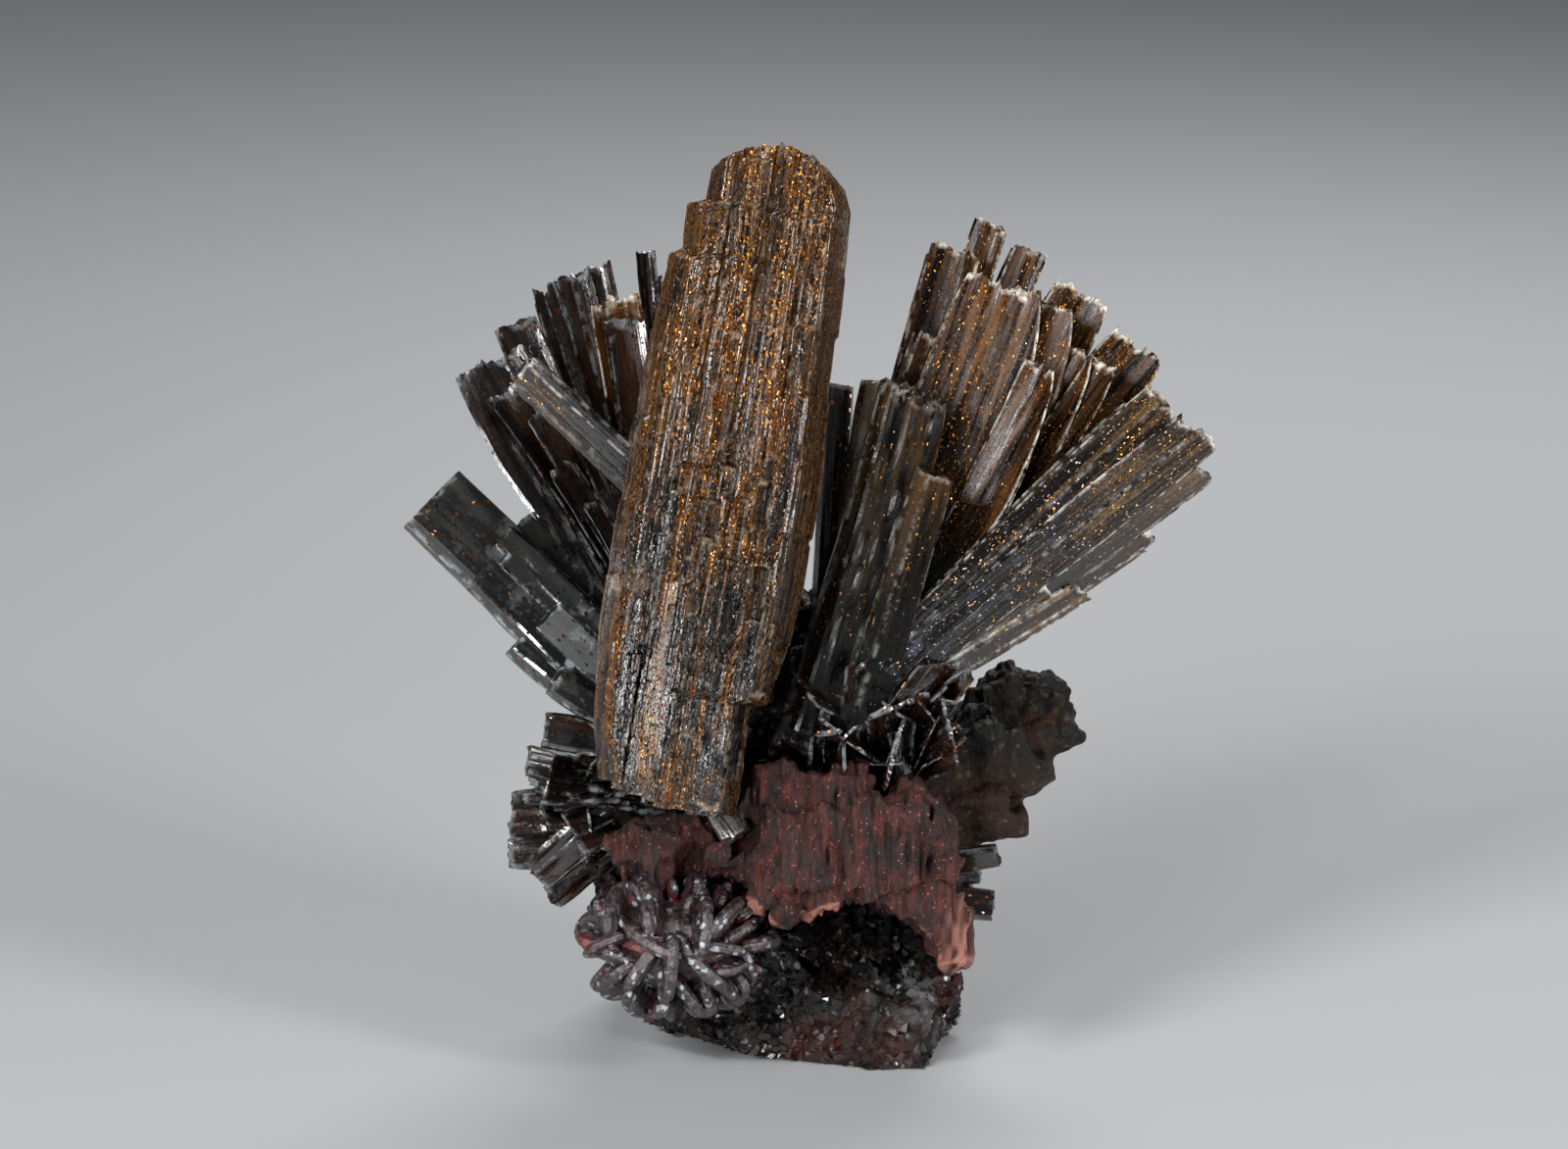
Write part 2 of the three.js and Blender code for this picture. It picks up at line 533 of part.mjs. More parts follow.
function darkCrust() {
  const random = stream(7);
  const parts = crustRings.slice(1).map((ring, i) => toSolid(new ConvexGeometry(
    [crustRings[i], ring].flatMap(([height, outline]) => outline.map(([x, y]) => new THREE.Vector3(x, y, height))),
  )));
  [leftSaddle, rightSaddle].forEach((corners) => parts.push(toSolid(new ConvexGeometry(corners.map(leaned)))));
  const addLump = (height, turn, { radius, sunk }) => {
    const size = within(radius, random);
    const centre = onCrust(height, turn);
    const inward = new THREE.Vector3(crustCentre[0], crustCentre[1], height).sub(centre).normalize();
    parts.push(lump(centre.addScaledVector(inward, size * sunk), size, random));
  };
  for (let i = 0; i < skinLumps.count; i++) {
    const share = ((i + 0.5) / skinLumps.count) ** skinLumps.crowding;
    const height = skinLumps.lowest + (skinLumps.highest - skinLumps.lowest) * share;
    addLump(height, i * goldenTurn + turnJitter * random(), skinLumps);
  }
  for (let i = 0; i < footLumps.count; i++) {
    const share = (i + 0.5) / footLumps.count;
    const height = footLumps.lowest + (footLumps.highest - footLumps.lowest) * share;
    addLump(height, -Math.PI / 2 + footLumps.arc * (((i * goldenTurn) % 1) - 0.5), footLumps);
  }
  const ground = new THREE.BoxGeometry(matrixReach, matrixReach, matrixReach).translate(0, 0, -matrixReach / 2);
  return joined(parts).subtract(toSolid(ground));
}

// The red-brown block: a broken slab that overhangs the crust's hollow, ridged down its front face.
const redBlockOutline = [
  [-7.2, 8.6], [-6.4, 7.0], [-5.0, 6.6], [-4.0, 7.1], [-1.9, 7.2], [-1.2, 6.6], [0.2, 5.3], [1.4, 5.7], [2.8, 6.3],
  [4.2, 5.9], [5.4, 5.2], [6.2, 4.2], [6.6, 3.2], [7.4, 3.6], [7.6, 5.8], [6.7, 6.8], [6.9, 9.6], [5.4, 11.0],
  [4.2, 11.4], [3.6, 12.2], [2.6, 11.9], [1.4, 11.3], [0.0, 12.0], [-1.4, 11.0], [-3.4, 9.9], [-5.2, 9.6],
];
const redDepth = 6.4;
const redFront = 5.2; // how far the front face stands out
const redRidges = { count: 8, from: -0.8, pitch: 0.875, top: [10.0, 11.0], low: [5.9, 6.7] };
const redRidgeProud = [0.25, 0.7];
const redRidgeHalf = [0.27, 0.41];
const redRidgeDrop = 0.3; // how much lower a ridge's right corners are
const redKnobs = [[6.4, 8.6, 5.3], [6.7, 7.6, 5.2], [6.2, 9.2, 5.0], [0.2, 5.8, 5.4], [-1.0, 7.0, 5.1]];
const redKnobRadius = 0.75;

// The block's body; grown, it is the same body pushed four ways.
function redBody(grow = 0) {
  const body = toSolid(slab(redBlockOutline, redDepth + 2 * grow).translate(0, redDepth / 2 - redFront, 0));
  if (!grow) return body;
  const pushes = [[-grow, -grow], [grow, -grow], [grow, grow], [-grow, grow]];
  return joined(pushes.map(([x, z]) => body.translate([x, 0, z])));
}

function redBlock(grow = 0) {
  const random = stream(19);
  const parts = [redBody(grow)];
  for (let i = 0; i < redRidges.count; i++) {
    const x = redRidges.from + redRidges.pitch * i;
    const top = within(redRidges.top, random);
    const low = within(redRidges.low, random);
    const proud = within(redRidgeProud, random);
    const half = within(redRidgeHalf, random);
    const outline = [
      [x - half, low], [x + half, low + redRidgeDrop], [x + half, top - redRidgeDrop], [x - half, top],
    ];
    parts.push(toSolid(slab(outline, spare).translate(0, spare / 2 - redFront - proud, 0)));
  }
  redKnobs.forEach(([x, z, out]) => parts.push(lump(new THREE.Vector3(x, -out, z), redKnobRadius + grow, random)));
  const upright = new THREE.Matrix4().makeRotationX(-leanBack);
  return joined(parts).transform(upright.elements);
}

// The rosette: thick round-ended tablets standing every way on a small mound.
const rosetteCentre = [-4.3, 4.4, 4.2];
const rosetteMound = 2.5;
const rosetteTablets = 23;
const rosetteOpening = 1.25; // 1 covers the front half of the mound, 2 all of it
const tabletRoot = 1.5; // how far from the centre a tablet starts
const tabletLength = [2.1, 3.0];
const tabletWidth = [1.2, 1.8];
const tabletThick = [0.42, 0.62];
const tabletShoulder = 0.75; // share of the length at which the end starts to narrow
const tabletEnd = 0.45; // width of the narrowed end over the full width

function tablet(length, width, thick) {
  const half = width / 2;
  const end = half * tabletEnd;
  const shoulder = length * tabletShoulder;
  return slab([[-half, 0], [half, 0], [half, shoulder], [end, length], [-end, length], [-half, shoulder]], thick);
}

function rosette(grow = 0) {
  const random = stream(31);
  const anyWay = () => new THREE.Vector3(random() - 0.5, random() - 0.5, random() - 0.5);
  const centre = leaned(rosetteCentre);
  const tablets = [lump(centre, rosetteMound + grow, random)];
  for (let i = 0; i < rosetteTablets; i++) {
    const spread = Math.acos(1 - (rosetteOpening * (i + 0.5)) / rosetteTablets);
    const turn = i * goldenTurn;
    const outward = leaned([Math.sin(spread) * Math.cos(turn), Math.sin(spread) * Math.sin(turn), Math.cos(spread)]);
    const leaning = outward.clone().add(anyWay()).normalize();
    const side = anyWay().cross(leaning).normalize();
    const depth = new THREE.Vector3().crossVectors(leaning, side).normalize();
    const base = centre.clone().addScaledVector(outward, tabletRoot - grow);
    const matrix = new THREE.Matrix4().makeBasis(side, depth, leaning).setPosition(base);
    const [length, width, thick] = [tabletLength, tabletWidth, tabletThick].map((range) => within(range, random));
    tablets.push(toSolid(tablet(length + 2 * grow, width + 2 * grow, thick + 2 * grow), matrix));
  }
  return joined(tablets);
}

const goethiteBlack = { color: 0x2b2622, roughness: 0.35, metalness: 0.35 };
const goethiteBronze = { color: 0x6b4a22, roughness: 0.4, metalness: 0.35 };
const hematiteRed = { color: 0x6e3426, roughness: 0.75, metalness: 0.05 };
const tabletGrey = { color: 0x5a4440, roughness: 0.3, metalness: 0.5 };

// Pieces in the order they are cut: each one gives way to every piece above it.
const pieces = [
  ['main_crystal', mainCrystal, goethiteBronze],
  ['right_fan_front', (grow) => blades(rightFanFront, grow), goethiteBlack],
  ['right_fan_outer', (grow) => blades(rightFanOuter, grow), goethiteBronze],
  ['right_fan_sheaf', (grow) => blades(rightFanSheaf, grow), goethiteBronze],
  ['sliver_blade', (grow) => blades(sliverBlade, grow), goethiteBlack],
  ['gold_bar', (grow) => blades(goldBar, grow), goethiteBronze],
  ['left_fan', (grow) => blades(leftFan, grow), goethiteBlack],
  ['left_prism', (grow) => blades(leftPrism, grow), goethiteBlack],
  ['left_dark_plates', (grow) => blades(leftDarkPlates, grow), goethiteBlack],
  ['middle_plates', (grow) => blades(middlePlates, grow), goethiteBlack],
  ['right_block', (grow) => blades(rightBlock, grow), goethiteBlack],
  ['stub_crystals', (grow) => blades(stubCrystals, grow), goethiteBlack],
  ['grey_blade', (grow) => blades(greyBlade, grow), goethiteBlack],
  ['rosette', rosette, tabletGrey],
  ['red_block', redBlock, hematiteRed],
];

const specimen = new THREE.Group();
specimen.name = 'goethite';

function addPiece(name, solid, look) {
  const mesh = new THREE.Mesh(toGeometry(solid), new THREE.MeshStandardMaterial(look));
  mesh.name = name;
  specimen.add(mesh);
}

let taken = null; // everything placed so far, grown by the clearance
for (const [name, make, look] of pieces) {
  const solid = make(0);
  const room = make(pieceGap);
  addPiece(name, largestBody(taken ? solid.subtract(taken) : solid), look);
  taken = taken ? taken.add(room) : room;
}

// The crust comes last and fills in behind everything else.
addPiece('dark_crust', largestBody(darkCrust().subtract(taken)), goethiteBlack);

export default specimen;
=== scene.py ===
# Goethite specimen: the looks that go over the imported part.
# Sizes are in millimetres, as seen from the front: right, up along the lean, out towards the viewer.
import math

import bmesh
import bpy
import numpy as np
from mathutils import Matrix, Vector


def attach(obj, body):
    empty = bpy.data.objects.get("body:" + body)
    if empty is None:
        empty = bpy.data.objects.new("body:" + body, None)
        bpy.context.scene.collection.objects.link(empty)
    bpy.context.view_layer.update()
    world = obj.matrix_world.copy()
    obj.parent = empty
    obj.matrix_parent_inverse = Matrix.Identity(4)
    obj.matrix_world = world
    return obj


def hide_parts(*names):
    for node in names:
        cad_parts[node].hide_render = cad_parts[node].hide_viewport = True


mm = 0.001
leanBack = math.radians(15)

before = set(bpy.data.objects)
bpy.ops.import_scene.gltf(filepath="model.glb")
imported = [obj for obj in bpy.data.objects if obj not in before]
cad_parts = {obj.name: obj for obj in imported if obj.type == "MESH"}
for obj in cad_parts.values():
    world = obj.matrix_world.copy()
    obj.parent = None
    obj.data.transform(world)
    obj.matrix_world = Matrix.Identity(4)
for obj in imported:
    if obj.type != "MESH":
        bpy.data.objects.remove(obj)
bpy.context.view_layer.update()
scene = bpy.context.scene


def leaned(right, up, out):
    return np.array([
        right,
        up * math.sin(leanBack) - out * math.cos(leanBack),
        up * math.cos(leanBack) + out * math.sin(leanBack),
    ])


# Points seen as the photograph sees them: right, up, out.
def seenFrom(points):
    up = points[:, 1] * math.sin(leanBack) + points[:, 2] * math.cos(leanBack)
    out = points[:, 2] * math.sin(leanBack) - points[:, 1] * math.cos(leanBack)
    return points[:, 0], up, out


def placeObject(name, data):
    made = bpy.data.objects.new(name, data)
    scene.collection.objects.link(made)
    return made


# Camera: looks down 15 degrees at the specimen and frames a field 64 mm wide; clip is in metres.
cameraSet = {
    "lens": 200, "sensor": 36, "fieldWidth": 64, "lookAtUp": 19.36, "elevation": 15, "clip": (0.01, 10),
}


def makeCamera(s):
    data = bpy.data.cameras.new("camera")
    data.sensor_width = s["sensor"]
    data.lens = s["lens"]
    data.clip_start, data.clip_end = s["clip"]
    camera = placeObject("camera", data)
    tilt = math.radians(s["elevation"])
    back = Vector((0, -math.cos(tilt), math.sin(tilt)))
    target = Vector(leaned(0, s["lookAtUp"], 0)) * mm
    camera.location = target + back * (s["fieldWidth"] * s["lens"] / s["sensor"] * mm)
    camera.rotation_mode = "QUATERNION"
    camera.rotation_quaternion = (-back).to_track_quat("-Z", "Y")
    scene.camera = camera


makeCamera(cameraSet)

# Odd numbers that scramble a cell's three indices and the seed
hashFactors = (374761393, 668265263, 1440662683, 974634777)
hashMask = 0xFFFFFFFF


# Noise from 0 to 1 at each row of an n x 3 array.
def latticeHash(cell, seed):
    mixed = cell[:, 0] * hashFactors[0] + cell[:, 1] * hashFactors[1] + cell[:, 2] * hashFactors[2]
    mixed = (mixed + seed * hashFactors[3]) & hashMask
    mixed = ((mixed ^ (mixed >> 13)) * 1274126177) & hashMask
    return ((mixed ^ (mixed >> 16)) & 0xFFFF) / 65535.0


def smoothNoise(points, seed=0):
    cell = np.floor(points).astype(np.int64)
    part = points - cell
    part = part * part * (3 - 2 * part)
    total = np.zeros(len(points))
    for corner in range(8):
        step = np.array([corner & 1, corner >> 1 & 1, corner >> 2 & 1])
        weight = np.prod(np.where(step == 1, part, 1 - part), axis=1)
        total += weight * latticeHash(cell + step, seed)
    return total


# Distance to the nearest of a scatter of seeds, one in each unit cell: 0 at a seed.
def knobNoise(points, seed=0):
    cell = np.floor(points).astype(np.int64)
    nearest = np.full(len(points), 9.0)
    for i in range(27):
        step = np.array([i % 3, i // 3 % 3, i // 9]) - 1
        other = cell + step
        spot = other + np.stack([latticeHash(other, seed + k) for k in (1, 2, 3)], axis=1)
        nearest = np.minimum(nearest, np.linalg.norm(points - spot, axis=1))
    return nearest


def poseBetween(foot, tip, roll):
    start, end = leaned(*foot), leaned(*tip)
    along = (end - start) / np.linalg.norm(end - start)
    viewer = leaned(0, 0, 1)
    facing = viewer - along * viewer.dot(along)
    facing /= np.linalg.norm(facing)
    facing = np.array(Matrix.Rotation(math.radians(roll), 3, Vector(along)) @ Vector(facing))
    depth = -facing
    across = np.cross(depth, along)
    return start, np.stack([across, depth, along], axis=1), np.linalg.norm(end - start)


# Columns across a face, -1 to 1: where each is, which growth lath it is on, and how strongly its border is
# painted pale and highlighted.
def lathColumns(rng, width, lathWidth, fine):
    count = max(1, round(width / lathWidth))
    shares = rng.uniform(0.4, 1.6, count)
    edges = np.concatenate([[0], np.cumsum(shares)]) / shares.sum() * 2 - 1
    crease = 0.03 / width
    spots, laths, rims = [], [], []
    for i in range(count):
        left = edges[i] + (crease if i else 0)
        right = edges[i + 1] - (crease if i < count - 1 else 0)
        inner = max(2, round((right - left) * width / 2 / fine) + 1)
        for k in range(inner):
            spots.append(left + (right - left) * k / (inner - 1))
            laths.append(i)
            rims.append(rng.random() ** 2 if k in (0, inner - 1) else 0.0)
    rims[0] = rims[-1] = 1.0
    return np.array(spots), np.array(laths), np.array(rims), count


# How far each lath stands proud along its length: level runs with sudden steps.
def growthSteps(rng, count, rows, height):
    relief = np.repeat(rng.uniform(-1, 1, (count, 1)), rows, axis=1)
    for i in range(count):
        for _ in range(rng.integers(1, 4)):
            relief[i, rng.integers(2, rows):] += rng.uniform(-0.9, 0.7)
    return np.clip(relief, -1.3, 1.3) * height


# One striated crystal as a closed box of grids. Its settings, in millimetres and degrees or as shares:
# lath, fine, row and layer are the grid's steps; widestAt, taper and cornerDrop shape its outline.
crystalDefaults = {
    "roll": 0, "bevel": 0.12, "jag": 0.35, "slant": 0, "lath": 1.0, "fine": 0.13, "row": 0.22, "layer": 0.3,
    "relief": 0.03, "bow": 0, "curl": 0, "cup": 0, "splay": 0.05, "rough": 0.015, "footJag": 0.0,
    "shoulder": (0.12, 0.12), "shoulderFrom": 0.72, "shade": 0.5, "ragged": 0.25, "tipBand": 0.015,
    "footShare": 0.75, "widestAt": 0.62, "taper": 0.2, "cornerDrop": 0.75, "thinSheet": 0.6,
}


def growCrystal(spec):
    s = {**crystalDefaults, **spec}
    rng = np.random.default_rng(s["seed"])
    start, turn, length = poseBetween(s["foot"], s["tip"], s["roll"])
    width, thick = s["width"], s["thick"]
    footWidth = s.get("footWidth", width * s["footShare"])
    spots, laths, rims, count = lathColumns(rng, width, s["lath"], s["fine"])
    rows = max(8, round(length / s["row"])) + 1
    depths = max(2, round(thick / s["layer"]) + 1)
    front = growthSteps(rng, count, rows, s["relief"])[laths]
    behind = growthSteps(rng, count, rows, s["relief"])[laths]
    lathSpot = np.array([spots[laths == i].mean() for i in range(count)])
    if "topAt" in s:
        ends = s["topAt"](lathSpot) - s["jag"] * rng.random(count)
        feet = s["footAt"](lathSpot) + s["footJag"] * rng.random(count)
    else:
        ends = length - s["jag"] * rng.random(count) ** 1.5 - s["slant"] * (1 - lathSpot) / 2
        feet = s["footJag"] * rng.random(count)
    splay = rng.uniform(-1, 1, count) * s["splay"]
    cellTop = rng.uniform(0, 1, (count, depths))
    tones = rng.random(count)

    # every (column, depth, row) on the box's surface gets a number
    surface = np.zeros((len(spots), depths, rows), bool)
    surface[0], surface[-1] = True, True
    surface[:, 0], surface[:, -1] = True, True
    surface[:, :, 0], surface[:, :, -1] = True, True
    number = np.full(surface.shape, -1)
    number[surface] = np.arange(surface.sum())
    i, j, k = np.nonzero(surface)

    # a runs across the face, b from front to back, v from foot to tip
    a, b, v = spots[i], np.linspace(-1, 1, depths)[j], np.linspace(0, 1, rows)[k]
    lath = laths[i]
    along = np.stack([a * width * 1.3, np.full(len(a), s["seed"] * 1.7), b * 0.6], axis=1)
    top = ends[lath] - s["jag"] * 0.5 * cellTop[lath, j] * (thick > 1.5)
    if "topAt" in s:
        top = top + s["topAt"](a) - s["topAt"](lathSpot)[lath]
    top = top - s["ragged"] * (smoothNoise(along, 77) + 0.5 * smoothNoise(along * 3.7, 78))
    z = feet[lath] + v * (top - feet[lath])
    if "leftAt" in s:
        left, right = s["leftAt"](z), s["rightAt"](z)
    else:
        half = np.interp(z, [0, length * s["widestAt"], length], [footWidth / 2, width / 2, width / 2])
        bend = np.clip((z / length - s["shoulderFrom"]) / (1 - s["shoulderFrom"]), 0, 1)
        drawn = 1 - np.sqrt(1 - np.minimum(bend, 0.98) ** 2)
        left, right = -half * (1 - s["shoulder"][0] * drawn), half * (1 - s["shoulder"][1] * drawn)
    x = left + (right - left) * (a + 1) / 2
    flat = 1 - 2 * s["bevel"] / width
    corner = np.clip((np.abs(a) - flat) / max(1e-6, 1 - flat), 0, 1)
    profile = 1 - s["cornerDrop"] * corner ** 1.6
    halfThick = thick / 2 * profile * (1 - s["taper"] * v ** 3)
    frontY = -halfThick - front[i, k] * (1 - corner)
    if "frontRelief" in s:
        frontY = frontY - s["frontRelief"](x, z) * (1 - corner * 0.7)
    behindY = halfThick + behind[i, k] * (1 - corner)
    y = frontY + (behindY - frontY) * (b + 1) / 2 + splay[lath] * v ** 2
    x = x + s["bow"] * 4 * v * (1 - v)
    y = y + s["curl"] * 4 * v * (1 - v) + s["cup"] * a ** 2 * v
    local = np.stack([x, y, z], axis=1)
    for axis in range(3):
        shake = smoothNoise(local * np.array([3.1, 3.1, 0.9]), s["seed"] * 3 + axis) - 0.5
        local[:, axis] += shake * s["rough"] * 2
    points = start + local @ turn.T

    quads = []

    def side(grid, flip):
        corners = np.stack([grid[:-1, :-1], grid[1:, :-1], grid[1:, 1:], grid[:-1, 1:]], axis=-1)
        corners = corners.reshape(-1, 4)
        quads.append(corners[:, ::-1] if flip else corners)

    side(number[:, 0, :], False)
    side(number[:, -1, :], True)
    side(number[0], True)
    side(number[-1], False)
    side(number[:, :, 0], True)
    side(number[:, :, -1], False)
    # thin sheets get the pale, painted-highlight rim all along their broken edge, thick crystals only on its
    # corners
    onCorner = (np.abs(b) > 0.999) | (thick < s["thinSheet"])
    tip = np.clip((v - 1) / s["tipBand"] + 1, 0, 1) * onCorner
    atSide = np.abs(a) > 0.999
    rim = np.maximum.reduce([rims[i] * (np.abs(a) < 0.999), tip, atSide * onCorner * 1.0])
    if "frontRelief" in s:
        cross = s["frontRelief"](x + 0.07, z) - s["frontRelief"](x - 0.07, z)
        lengthwise = s["frontRelief"](x, z + 0.1) - s["frontRelief"](x, z - 0.1)
        stepEdge = np.clip((np.abs(cross) + np.abs(lengthwise) * 2) * 5 - 0.5, 0, 1) * (b < -0.999)
        rim = np.maximum(rim * 0.6, stepEdge)
    return {
        "points": points,
        "quads": np.concatenate(quads),
        "grain": local + s["seed"] * np.array([3.7, 1.9, 5.3]),
        "tone": tones[lath] * 0.5 + (s["shade"] - 0.25),
        "rim": rim,
        "rise": z / length,
    }


# Keeps one number for each vertex, for a finish or a scatter to read.
def keepValues(mesh, key, values):
    layer = mesh.attributes.new(key, "FLOAT", "POINT")
    layer.data.foreach_set("value", values.astype(np.float32))


# Joins grown crystals into one mesh object, with what the finishes read kept as attributes.
def meshObject(name, parts):
    mesh = bpy.data.meshes.new(name)
    counts = np.cumsum([0] + [len(p["points"]) for p in parts])
    points = np.concatenate([p["points"] for p in parts]) * mm
    quads = np.concatenate([p["quads"] + at for p, at in zip(parts, counts)])
    mesh.vertices.add(len(points))
    mesh.vertices.foreach_set("co", points.astype(np.float32).ravel())
    mesh.loops.add(quads.size)
    mesh.loops.foreach_set("vertex_index", quads.astype(np.int32).ravel())
    mesh.polygons.add(len(quads))
    mesh.polygons.foreach_set("loop_start", (np.arange(len(quads)) * 4).astype(np.int32))
    mesh.polygons.foreach_set("use_smooth", np.zeros(len(quads), bool))
    mesh.update(calc_edges=True)
    mesh.validate()
    for key in ("tone", "rim", "rise"):
        keepValues(mesh, key, np.concatenate([p[key] for p in parts]))
    layer = mesh.attributes.new("grain", "FLOAT_VECTOR", "POINT")
    layer.data.foreach_set("vector", np.concatenate([p["grain"] for p in parts]).astype(np.float32).ravel())
    return placeObject(name, mesh)


# Finishes
def colourOf(code):
    parts = [int(code[i:i + 2], 16) / 255 for i in (1, 3, 5)]
    return tuple(c / 12.92 if c <= 0.04045 else ((c + 0.055) / 1.055) ** 2.4 for c in parts) + (1.0,)


def addNode(tree, kind, inputs=None, **settings):
    node = tree.nodes.new(kind)
    for key, value in settings.items():
        setattr(node, key, value)
    for socket, value in (inputs or {}).items():
        if isinstance(value, bpy.types.NodeSocket):
            tree.links.new(value, node.inputs[socket])
        else:
            node.inputs[socket].default_value = value
    return node


def emptyMaterial(name):
    made = bpy.data.materials.new(name)
    made.use_nodes = True
    made.node_tree.nodes.clear()
    return made, made.node_tree


def kept(tree, key, output="Fac"):
    return addNode(tree, "ShaderNodeAttribute", attribute_name=key).outputs[output]


def rampOf(tree, factor, stops):
    node = addNode(tree, "ShaderNodeValToRGB", {0: factor})
    ramp = node.color_ramp
    while len(ramp.elements) < len(stops):
        ramp.elements.new(0.5)
    for element, (at, code) in zip(ramp.elements, stops):
        element.position = at
        element.color = colourOf(code)
    return node.outputs["Color"]


def mixColour(tree, factor, first, second):
    node = addNode(tree, "ShaderNodeMix", {0: factor, 6: first, 7: second}, data_type="RGBA")
    return node.outputs[2]


def compute(tree, operation, first, second=0.0, third=0.0, clamp=False):
    inputs = {0: first, 1: second, 2: third}
    return addNode(tree, "ShaderNodeMath", inputs, operation=operation, use_clamp=clamp).outputs[0]


# 0 up to start, then rising by slope to 1
def risingFrom(tree, value, start, slope):
    return compute(tree, "MULTIPLY", compute(tree, "SUBTRACT", value, start), slope, clamp=True)


def vectorOf(tree, operation, first, second=(0.0, 0.0, 0.0)):
    return addNode(tree, "ShaderNodeVectorMath", {0: first, 1: second}, operation=operation).outputs[0]


def mapped(tree, place, scale, rotation=(0.0, 0.0, 0.0)):
    inputs = {"Vector": place, "Rotation": rotation, "Scale": scale}
    return addNode(tree, "ShaderNodeMapping", inputs).outputs[0]


def noiseOf(tree, place, scale, detail, roughness=0.6):
    inputs = {"Vector": place, "Scale": scale, "Detail": detail, "Roughness": roughness}
    return addNode(tree, "ShaderNodeTexNoise", inputs).outputs[0]


# Small cells: each one's colour, and that colour's first two parts as numbers
def cellsOf(tree, place, scale):
    colour = addNode(tree, "ShaderNodeTexVoronoi", {"Vector": place, "Scale": scale}).outputs["Color"]
    parts = addNode(tree, "ShaderNodeSeparateColor", {0: colour}).outputs
    return colour, parts[0], parts[1]


# A bumped normal that also leans its own way in each cell
def tiltedNormal(tree, cells, tiltSize, bumpSettings):
    centred = vectorOf(tree, "SUBTRACT", cells, (0.5, 0.5, 0.5))
    tilt = addNode(tree, "ShaderNodeVectorMath", {0: centred, "Scale": tiltSize}, operation="SCALE")
    bump = addNode(tree, "ShaderNodeBump", bumpSettings)
    return vectorOf(tree, "NORMALIZE", vectorOf(tree, "ADD", bump.outputs[0], tilt.outputs[0]))


def surfaceOf(tree, base, rough, normal, ior, metal):
    shader = addNode(tree, "ShaderNodeBsdfPrincipled", {
        "Base Color": base, "Roughness": rough, "Normal": normal, "IOR": ior, "Metallic": metal,
    })
    addNode(tree, "ShaderNodeOutputMaterial", {"Surface": shader.outputs[0]})
